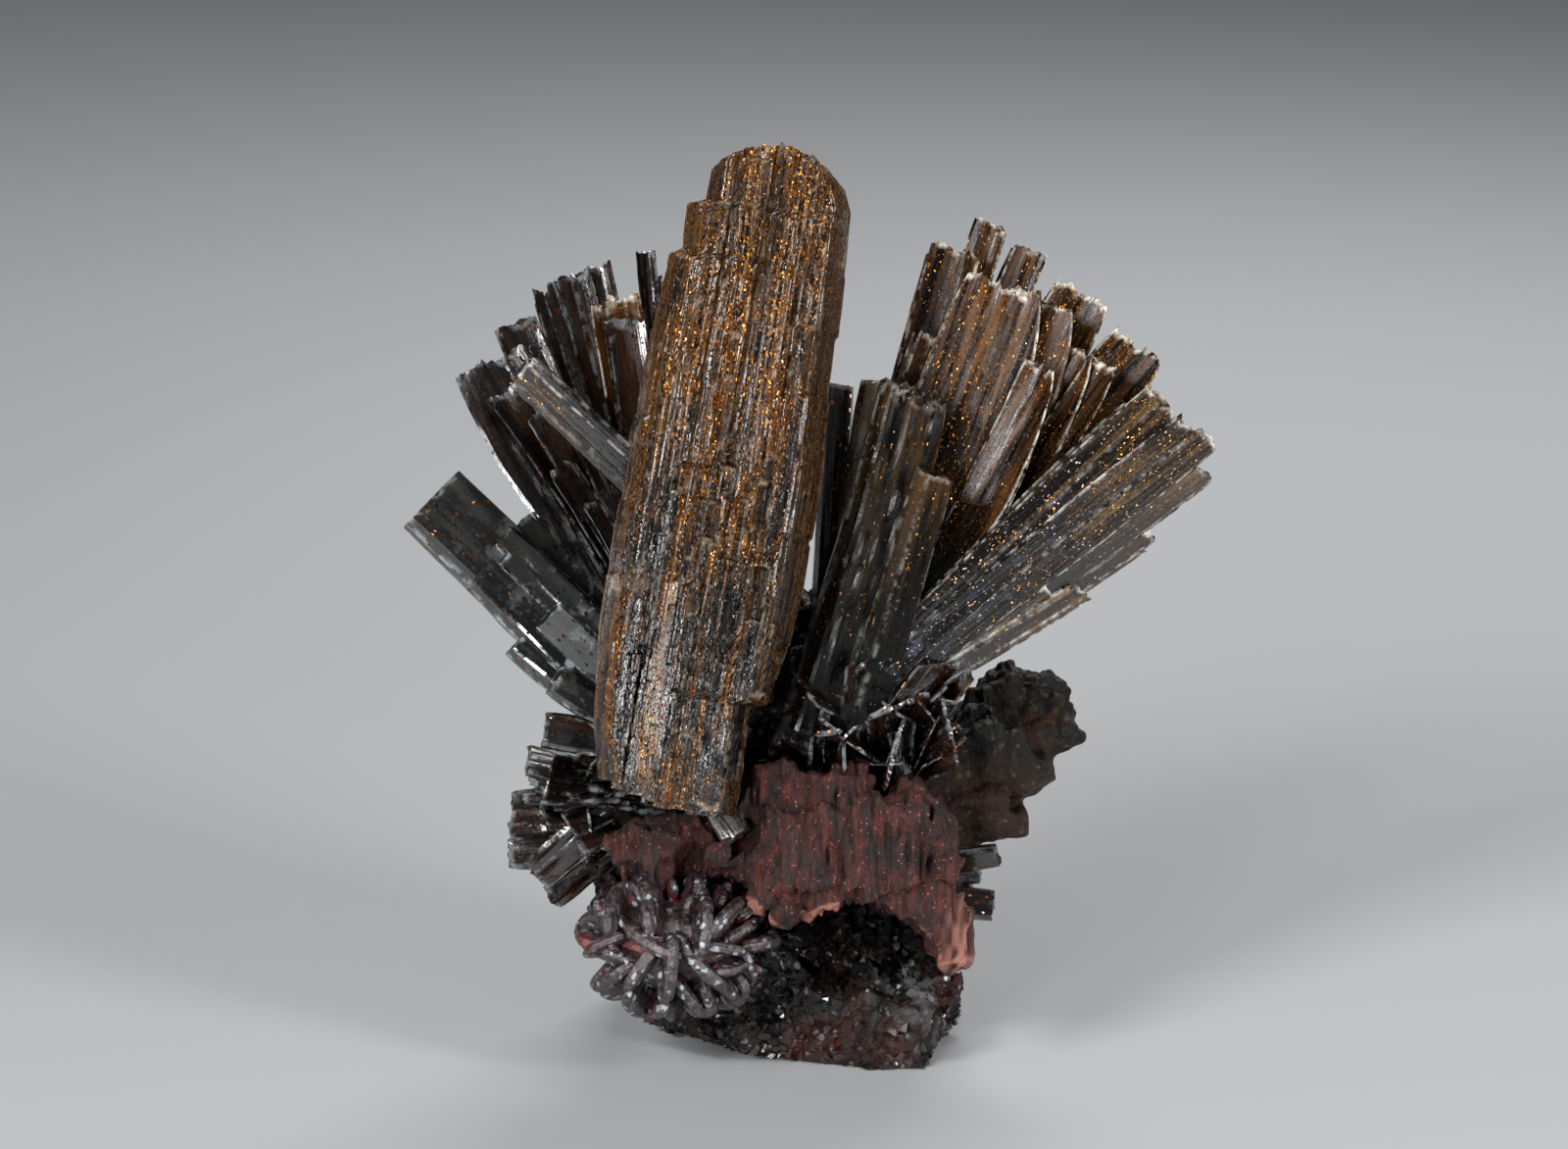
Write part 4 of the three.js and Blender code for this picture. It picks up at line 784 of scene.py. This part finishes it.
stubSet = [
    blade((4.4, 7.4, 1.2), (9.0, 8.0, 2.0), 1.0, 0.8, 131, roll=30, jag=0.3),
    blade((4.4, 6.3, 1.0), (8.7, 5.9, 1.6), 1.3, 0.9, 132, roll=-14, jag=0.25),
    blade((4.4, 7.0, 0.4), (8.2, 7.0, 0.6), 1.5, 1.2, 133, roll=10, jag=0.4),
]
crystalPiece("stubCrystals", stubSet, blackFinish, "stub_crystals")

greySet = [
    blade((-3.6, 11.6, 3.6), (-1.6, 8.3, 4.8), 1.3, 0.7, 141, roll=14, jag=0.4, slant=0.3, relief=0.03),
]
crystalPiece("greyBlade", greySet, greyFinish, "grey_blade")


# Matrix pieces start from a welded copy of their solid, remeshed fine, softened and then worn by noise.
def remeshedCopy(name, node, voxel, rounds=2):
    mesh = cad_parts[node].data.copy()
    mesh.materials.clear()
    made = placeObject(name, mesh)
    welded = bmesh.new()
    welded.from_mesh(mesh)
    bmesh.ops.remove_doubles(welded, verts=welded.verts, dist=1e-6)
    welded.to_mesh(mesh)
    welded.free()
    remesh = made.modifiers.new("remesh", "REMESH")
    remesh.mode = "VOXEL"
    remesh.voxel_size = voxel * mm
    soften = made.modifiers.new("soften", "SMOOTH")
    soften.factor = 0.5
    soften.iterations = rounds
    solid = bpy.data.meshes.new_from_object(made.evaluated_get(bpy.context.evaluated_depsgraph_get()))
    made.modifiers.clear()
    made.data = solid
    return made


def vertexArrays(mesh):
    points = np.empty(len(mesh.vertices) * 3, np.float32)
    normals = np.empty(len(mesh.vertices) * 3, np.float32)
    mesh.vertices.foreach_get("co", points)
    mesh.vertices.foreach_get("normal", normals)
    return points.reshape(-1, 3).astype(float) / mm, normals.reshape(-1, 3).astype(float)


def setPoints(mesh, points):
    mesh.vertices.foreach_set("co", (points * mm).astype(np.float32).ravel())
    mesh.update()


# Rock finishes read Object coordinates, in metres, so scales are per metre.
def rockFinish(name, s):
    made, tree = emptyMaterial(name)
    place = addNode(tree, "ShaderNodeTexCoord").outputs["Object"]
    leaning = mapped(tree, place, s.get("stretch", (1.0, 1.0, 1.0)), (leanBack, 0, 0))
    fine = noiseOf(tree, leaning, s["fineScale"], 6.0, 0.7)
    broad = noiseOf(tree, place, s["broadScale"], 4.0)
    body = compute(tree, "MULTIPLY_ADD", fine, 0.6, compute(tree, "MULTIPLY", broad, 0.4))
    base = rampOf(tree, body, [(0.42, s["dark"]), (0.51, s["middle"]), (0.6, s["light"])])
    stain = risingFrom(tree, broad, 0.53, 9.0)
    base = mixColour(tree, compute(tree, "MULTIPLY", stain, s["patchShare"]), base, colourOf(s["patch"]))

    # the piece's own mark: salmon breaks, frosted patches, or the red glow of light painted into the depths of
    # the rosette
    mark = compute(tree, "MULTIPLY", kept(tree, "mark"), s["markShare"])
    base = mixColour(tree, mark, base, colourOf(s["markColour"]))

    # painted sparkle: a few cells are painted a bright colour that stands in for glints; every cell also leans
    # its own way
    cells, rarity, shine = cellsOf(tree, place, s["grainScale"])
    rare = compute(tree, "GREATER_THAN", rarity, 1 - s["paintedSparkShare"])
    base = mixColour(tree, rare, base, colourOf(s["paintedSpark"]))
    bump = {"Strength": s["bump"], "Distance": 0.0002, "Height": fine}
    rough = addNode(tree, "ShaderNodeMapRange", {
        "Value": shine, "To Min": s["gloss"][0], "To Max": s["gloss"][1],
    }).outputs[0]
    normal = tiltedNormal(tree, cells, s["facetTilt"], bump)
    surfaceOf(tree, base, rough, normal, s["ior"], s.get("metal", 0.0))
    return made


# earthy red-brown, fibrous down its face, with salmon broken edges
redFinish = rockFinish("earthyRedHematite", {
    "dark": "#120604", "middle": "#3a130b", "light": "#6c2c1c", "patch": "#1e0a07", "patchShare": 0.6,
    "stretch": (1.0, 1.0, 0.16), "fineScale": 3600, "broadScale": 420, "grainScale": 18000,
    "paintedSpark": "#b8705c", "paintedSparkShare": 0.012, "facetTilt": 0.3, "bump": 0.9, "gloss": (0.85, 0.5), "ior": 1.6,
    "markColour": "#c08270", "markShare": 0.8,
})
# knobby brown-black crust with small sparkling grains
crustFinish = rockFinish("sparklingBlackCrust", {
    "dark": "#040303", "middle": "#100a08", "light": "#2f1d14", "patch": "#3a170d", "patchShare": 0.7,
    "fineScale": 2200, "broadScale": 300, "grainScale": 5200, "paintedSpark": "#6f6c6a", "paintedSparkShare": 0.04,
    "facetTilt": 0.5, "bump": 0.9, "gloss": (0.7, 0.3), "ior": 1.5, "markColour": "#8f9294", "markShare": 0.4,
})
# the loose sparkling crystals over it: flat dark mirrors
druseFinish = rockFinish("blackDruse", {
    "dark": "#060505", "middle": "#15100d", "light": "#3c2a1f", "patch": "#4a1d10", "patchShare": 0.7,
    "fineScale": 900, "broadScale": 300, "grainScale": 2500, "paintedSpark": "#4a423c", "paintedSparkShare": 0.05,
    "facetTilt": 0.05, "bump": 0.1, "gloss": (0.3, 0.05), "ior": 1.8, "markColour": "#a8acb0",
    "markShare": 0.55,
})
# grey-violet metallic tablets, blood red where light gets through between them
tabletFinish = rockFinish("greyMetallicTablets", {
    "dark": "#1a1212", "middle": "#443638", "light": "#83777a", "patch": "#381510", "patchShare": 0.5,
    "fineScale": 3400, "broadScale": 800, "grainScale": 5200, "paintedSpark": "#b9c4cc", "paintedSparkShare": 0.06,
    "facetTilt": 0.22, "bump": 0.5, "gloss": (0.42, 0.16), "ior": 2.4, "metal": 0.4,
    "markColour": "#a1180c", "markShare": 0.8,
})
# lumpy olive-black block
oliveFinish = rockFinish("oliveBlackGoethite", {
    "dark": "#030302", "middle": "#100c06", "light": "#3a2c12", "patch": "#3a160a", "patchShare": 0.8,
    "stretch": (1.0, 1.0, 0.5), "fineScale": 3600, "broadScale": 350, "grainScale": 6000,
    "paintedSpark": "#4a3c28", "paintedSparkShare": 0.03, "facetTilt": 0.2, "bump": 1.0, "gloss": (0.75, 0.35), "ior": 1.45,
    "markColour": "#43200e", "markShare": 0.35,
})

# The red block's lower face is broken along this line, given as right and up.
redSet = {
    "voxel": 0.13, "fibre": 0.26, "lumps": 0.25, "knobs": 0.4, "teeth": 2.4, "toothHeight": 0.3,
    "brokenEdge": [
        (-1.5, 6.4), (0.2, 5.2), (1.6, 5.8), (2.8, 6.2), (4.0, 5.8), (5.0, 5.1), (6.0, 5.0), (6.4, 3.9),
    ],
}


def makeRedBlock(s):
    made = remeshedCopy("redBlock", "red_block", s["voxel"])
    points, normals = vertexArrays(made.data)
    fibre = smoothNoise(points * np.array([3.4, 1.5, 0.55]), 4) - 0.5
    fibre += 0.5 * (smoothNoise(points * np.array([7.5, 3.0, 1.3]), 9) - 0.5)
    rag = smoothNoise(points * 1.1, 12) - 0.5
    knobs = 0.5 - knobNoise(points * 1.3, 14)
    right, up, out = seenFrom(points)
    upper = np.clip((up - 9.5) / 1.5, 0, 1)
    push = fibre * 2 * s["fibre"] + rag * 2 * s["lumps"] + knobs * s["knobs"] * upper
    setPoints(made.data, points + normals * push[:, None])
    at, level = zip(*s["brokenEdge"])
    above = up - np.interp(right, at, level)
    column = np.stack([right * s["teeth"], np.zeros(len(right)), np.zeros(len(right))], axis=1)
    tooth = s["toothHeight"] * np.clip(smoothNoise(column, 17) * 2.4 - 1.3, -0.3, 1)
    rim = np.clip((tooth - above) / 0.08, 0, 1) * (above > -0.15) * (out > 2)
    fibres = np.clip(smoothNoise(points * np.array([4.5, 4.5, 0.5]), 21) * 3 - 1, 0, 1)
    facet = np.clip((right - 6.1) / 0.5, 0, 1) * np.clip((7.2 - up) / 1.5, 0, 1) * fibres
    keepValues(made.data, "mark", np.clip(rim + facet * 0.8, 0, 1))
    finishPiece(made, redFinish, "red_block")


makeRedBlock(redSet)

# A hollow is given by right, up, half width, half height and depth; bareScale is for the grains' patches.
crustSet = {
    "voxel": 0.2, "knobs": 1.1, "knobsPerMm": 0.62, "fine": 0.2, "bareScale": 0.55,
    "hollows": [
        (2.9, 4.6, 2.3, 1.4, 3.4), (5.2, 3.8, 0.8, 0.8, 0.9), (0.7, 2.6, 0.8, 0.9, 1.2),
        (-1.2, 1.6, 0.9, 0.5, 0.7), (3.6, 1.6, 0.6, 0.5, 0.8),
    ],
}


# Pale frosted patches low on the right of the front
def frostAt(points):
    right, up, out = seenFrom(points)
    near = np.exp(-((right - 5.6) / 1.5) ** 2 - ((up - 1.9) / 1.7) ** 2) * (out > 0)
    return np.clip(near * (smoothNoise(points * 2.8, 31) * 12 - 5.6), 0, 1)


def makeCrust(s):
    made = remeshedCopy("darkCrust", "dark_crust", s["voxel"])
    points, normals = vertexArrays(made.data)
    round1 = 0.5 - knobNoise(points * s["knobsPerMm"], 3)
    round2 = 0.5 - knobNoise(points * s["knobsPerMm"] * 2.3, 8)
    rag = smoothNoise(points * 3.3, 5) - 0.5
    push = round1 * s["knobs"] + round2 * s["knobs"] * 0.5 + rag * s["fine"]
    right, up, out = seenFrom(points)
    for place, level, wide, high, depth in s["hollows"]:
        push -= depth * np.exp(-((right - place) / wide) ** 2 - ((up - level) / high) ** 2) * (out > 0)
    keep = np.clip(points[:, 2] / 0.8, 0, 1)  # the underside stays flat
    moved = points + normals * (push * keep)[:, None]
    moved[:, 2] = np.maximum(moved[:, 2], 0)
    setPoints(made.data, moved)
    keepValues(made.data, "mark", frostAt(moved) * 0.6)
    finishPiece(made, crustFinish, "dark_crust")
    bare = smoothNoise(moved * s["bareScale"], 37) * 2.2 - 0.35
    keepValues(made.data, "cover", np.clip(bare, 0.12, 1))
    return made


crust = makeCrust(crustSet)

blockSet = {"voxel": 0.15, "softenRounds": 8, "knobs": 0.8, "knobsPerMm": 0.9, "fine": 0.5}


def makeRightBlock(s):
    made = remeshedCopy("rightBlock", "right_block", s["voxel"], s["softenRounds"])
    points, normals = vertexArrays(made.data)
    right, up, out = seenFrom(points)
    upper = 0.35 + 0.65 * np.clip((up - 12.5) / 1.5, 0, 1)
    round1 = 0.45 - knobNoise(points * s["knobsPerMm"], 13)
    round2 = 0.45 - knobNoise(points * s["knobsPerMm"] * 2.1, 18)
    rag = smoothNoise(points * np.array([1.2, 1.2, 0.6]), 15) - 0.5
    push = (round1 + round2 * 0.5) * s["knobs"] * upper + rag * s["fine"]
    setPoints(made.data, points + normals * push[:, None])
    keepValues(made.data, "mark", np.clip((12.2 - up) / 1.5, 0, 1))
    finishPiece(made, oliveFinish, "right_block")


makeRightBlock(blockSet)

# A tablet is a lens standing on its edge, with blunt ends: each ring's share of its outline and its depth.
# Tablets stand on a mound, turned towards the same side; density is in tablets per square metre.
tabletSet = {
    "length": 2.7, "height": 1.5, "thick": 0.56, "sides": 20, "squash": 0.95, "sunk": 0.3,
    "rings": [(0.55, -1.0), (0.9, -0.7), (1.0, -0.12), (1.0, 0.12), (0.9, 0.7), (0.55, 1.0)],
    "centre": (-4.4, 4.4, 4.0), "mound": (3.0, 1.9, 1.9), "towards": tuple(leaned(0, 0, -1)),
    "spacing": 0.76, "smallest": 0.65, "largest": 1.15, "tilt": 0.7, "spin": 1.3, "density": 6e6, "seed": 6,
}


def tabletMesh(s):
    built = bmesh.new()
    rings = []
    for share, depth in s["rings"]:
        ring = []
        for i in range(s["sides"]):
            turn = 2 * math.pi * i / s["sides"]
            across, up = math.cos(turn), math.sin(turn)
            x = abs(across) ** s["squash"] * math.copysign(1, across) * s["length"] / 2 * share
            z = abs(up) ** s["squash"] * math.copysign(1, up) * s["height"] / 2 * share
            spot = (x * mm, depth * s["thick"] / 2 * mm, (z + s["height"] * s["sunk"]) * mm)
            ring.append(built.verts.new(spot))
        rings.append(ring)
    for low, high in zip(rings, rings[1:]):
        for i in range(s["sides"]):
            n = (i + 1) % s["sides"]
            built.faces.new((low[i], low[n], high[n], high[i]))
    built.faces.new(rings[0])
    built.faces.new(rings[-1])
    return meshFrom(built, "tablet")


def meshFrom(built, name):
    bmesh.ops.recalc_face_normals(built, faces=built.faces)
    mesh = bpy.data.meshes.new(name)
    built.to_mesh(mesh)
    built.free()
    return mesh


# Scatter tree: stands copies of one mesh on a host's faces, with named inputs and a fixed seed.
def scatterTree(name, copyObject, material, s):
    tree = bpy.data.node_groups.new(name, "GeometryNodeTree")
    tree.interface.new_socket("Geometry", in_out="INPUT", socket_type="NodeSocketGeometry")
    sizes = {}
    for key in ("Spacing", "Smallest", "Largest", "Tilt", "Density"):
        socket = tree.interface.new_socket(key, in_out="INPUT", socket_type="NodeSocketFloat")
        sizes[key] = socket.identifier
    tree.interface.new_socket("Geometry", in_out="OUTPUT", socket_type="NodeSocketGeometry")
    given = tree.nodes.new("NodeGroupInput").outputs
    cover = addNode(tree, "GeometryNodeInputNamedAttribute", {"Name": "cover"}, data_type="FLOAT")
    spread = addNode(tree, "GeometryNodeDistributePointsOnFaces", {
        "Mesh": given["Geometry"], "Distance Min": given["Spacing"], "Density Max": given["Density"],
        "Density Factor": cover.outputs[0], "Seed": s["seed"],
    }, distribute_method="POISSON")
    turns = addNode(tree, "FunctionNodeRandomValue", {
        0: (0.0, 0.0, 0.0), 1: (1.0, 1.0, 1.0), "Seed": s["seed"] + 1,
    }, data_type="FLOAT_VECTOR")
    centred = vectorOf(tree, "SUBTRACT", turns.outputs[0], (0.5, 0.5, 0.5))
    tilts = addNode(tree, "ShaderNodeCombineXYZ", {"X": given["Tilt"], "Y": given["Tilt"], "Z": s["spin"]})
    facing = addNode(tree, "FunctionNodeAlignEulerToVector", {
        "Rotation": spread.outputs["Rotation"], "Vector": s["towards"],
    }, axis="X", pivot_axis="Z")
    turned = addNode(tree, "FunctionNodeRotateEuler", {
        "Rotation": facing.outputs[0], "Rotate By": vectorOf(tree, "MULTIPLY", centred, tilts.outputs[0]),
    }, space="LOCAL")
    scales = addNode(tree, "FunctionNodeRandomValue", {
        2: given["Smallest"], 3: given["Largest"], "Seed": s["seed"] + 2,
    }, data_type="FLOAT")
    source = addNode(tree, "GeometryNodeObjectInfo", {"Object": copyObject})
    placed = addNode(tree, "GeometryNodeInstanceOnPoints", {
        "Points": spread.outputs["Points"], "Instance": source.outputs["Geometry"],
        "Rotation": turned.outputs[0], "Scale": scales.outputs[1],
    })
    real = addNode(tree, "GeometryNodeRealizeInstances", {"Geometry": placed.outputs[0]})
    finished = addNode(tree, "GeometryNodeSetMaterial", {"Geometry": real.outputs[0], "Material": material})
    addNode(tree, "NodeGroupOutput", {0: finished.outputs[0]})
    return tree, sizes


# Copies of one mesh scattered over the host, as one plain mesh
def scatterOn(host, name, copyMesh, material, s):
    copyObject = placeObject(name + "Copy", copyMesh)
    tree, sizes = scatterTree(name, copyObject, material, s)
    live = host.modifiers.new("scatter", "NODES")
    live.node_group = tree
    live[sizes["Spacing"]] = s["spacing"] * mm
    for key in ("Smallest", "Largest", "Tilt", "Density"):
        live[sizes[key]] = s[key.lower()]
    mesh = bpy.data.meshes.new_from_object(host.evaluated_get(bpy.context.evaluated_depsgraph_get()))
    host.modifiers.remove(live)
    bpy.data.objects.remove(copyObject)
    return mesh


def makeRosette(s):
    centre = Vector(leaned(*s["centre"])) * mm
    built = bmesh.new()
    shape = Matrix.Translation(centre) @ Matrix.Diagonal((*s["mound"], 1))
    bmesh.ops.create_icosphere(built, subdivisions=3, radius=mm, matrix=shape)
    mound = bpy.data.meshes.new("mound")
    built.to_mesh(mound)
    built.free()
    host = placeObject("rosetteHost", mound)
    keepValues(mound, "cover", np.ones(len(mound.vertices)))
    tablets = scatterOn(host, "tabletRosette", tabletMesh(s), tabletFinish, s)
    joined = bmesh.new()
    joined.from_mesh(mound)
    joined.from_mesh(tablets)
    mesh = bpy.data.meshes.new("rosette")
    joined.to_mesh(mesh)
    joined.free()
    bpy.data.objects.remove(host)
    made = placeObject("rosetteTablets", mesh)
    points = vertexArrays(mesh)[0]
    reach = np.linalg.norm((points - np.array(centre) / mm) / np.array(s["mound"]), axis=1)
    # painted light: deep in the mound, between the tablets, the colour turns red where light shines through
    redGlowDepth = np.clip((1.45 - reach) / 0.25, 0, 1)
    keepValues(mesh, "mark", redGlowDepth * np.clip((smoothNoise(points * 2.6, 41) - 0.66) * 12, 0, 1))
    finishPiece(made, tabletFinish, "rosette")


makeRosette(tabletSet)

# Small sparkling crystals grown over the crust
grainSet = {
    "size": 0.6, "corners": 8, "spacing": 0.34, "smallest": 0.4, "largest": 1.1, "tilt": 3.0, "spin": 6.28,
    "density": 2.5e7, "towards": (1.0, 0.0, 0.0), "lowest": 0.02, "seed": 11,
}


def grainMesh(s):
    rng = np.random.default_rng(s["seed"])
    built = bmesh.new()
    for spot in rng.normal(size=(s["corners"], 3)):
        built.verts.new(spot / np.linalg.norm(spot) * s["size"] / 2 * mm)
    hull = bmesh.ops.convex_hull(built, input=built.verts)
    loose = [v for v in hull["geom_interior"] if isinstance(v, bmesh.types.BMVert)]
    bmesh.ops.delete(built, geom=loose, context="VERTS")
    return meshFrom(built, "grain")


def makeGrains(s):
    mesh = scatterOn(crust, "crustDruse", grainMesh(s), druseFinish, s)
    made = placeObject("crustDruse", mesh)
    points = vertexArrays(mesh)[0]
    points[:, 2] = np.maximum(points[:, 2], s["lowest"])
    setPoints(mesh, points)
    keepValues(mesh, "mark", frostAt(points))
    mesh.materials.clear()
    finishPiece(made, druseFinish, None)


makeGrains(grainSet)

# Floor and soft studio light. The floor lies a hair below the specimen; its half width and drop are in metres.
floorSet = {"half": 3, "drop": 0.00002, "colour": "#c9cbcd", "roughness": 0.7}


def makeFloor(s):
    mesh = bpy.data.meshes.new("floor")
    half = s["half"]
    corners = [(-half, -half, 0), (half, -half, 0), (half, half, 0), (-half, half, 0)]
    mesh.from_pydata(corners, [], [(0, 1, 2, 3)])
    floor = placeObject("floor", mesh)
    pale = bpy.data.materials.new("paleFloor")
    pale.use_nodes = True
    shader = pale.node_tree.nodes["Principled BSDF"]
    shader.inputs["Base Color"].default_value = colourOf(s["colour"])
    shader.inputs["Roughness"].default_value = s["roughness"]
    mesh.materials.append(pale)
    floor.location.z = -s["drop"]


makeFloor(floorSet)

# Each softbox: where it stands, how wide and high it is, and its power; all of them face one point.
lightSet = {
    "boxes": [
        {"name": "keyLeft", "at": (-130, -150, 130), "size": (70, 70), "power": 0.32},
        {"name": "lowLeft", "at": (-75, -190, 44), "size": (30, 50), "power": 0.12},
        {"name": "right", "at": (150, -110, 80), "size": (40, 120), "power": 0.22},
        {"name": "rimBack", "at": (40, 140, 130), "size": (120, 60), "power": 0.14},
    ],
    "lookAt": (0, 18, 3), "room": "#9a9da2", "roomPower": 0.24,
}


def makeLights(s):
    target = Vector(leaned(*s["lookAt"])) * mm
    for box in s["boxes"]:
        data = bpy.data.lights.new(box["name"], "AREA")
        data.shape = "RECTANGLE"
        data.size, data.size_y = box["size"][0] * mm, box["size"][1] * mm
        data.energy = box["power"]
        lamp = placeObject(box["name"], data)
        lamp.location = Vector(box["at"]) * mm
        lamp.rotation_mode = "QUATERNION"
        lamp.rotation_quaternion = (target - lamp.location).to_track_quat("-Z", "Y")
    world = bpy.data.worlds.new("studio")
    scene.world = world
    world.use_nodes = True
    world.node_tree.nodes["Background"].inputs[0].default_value = colourOf(s["room"])
    world.node_tree.nodes["Background"].inputs[1].default_value = s["roomPower"]


makeLights(lightSet)
scene.view_settings.view_transform = "Standard"
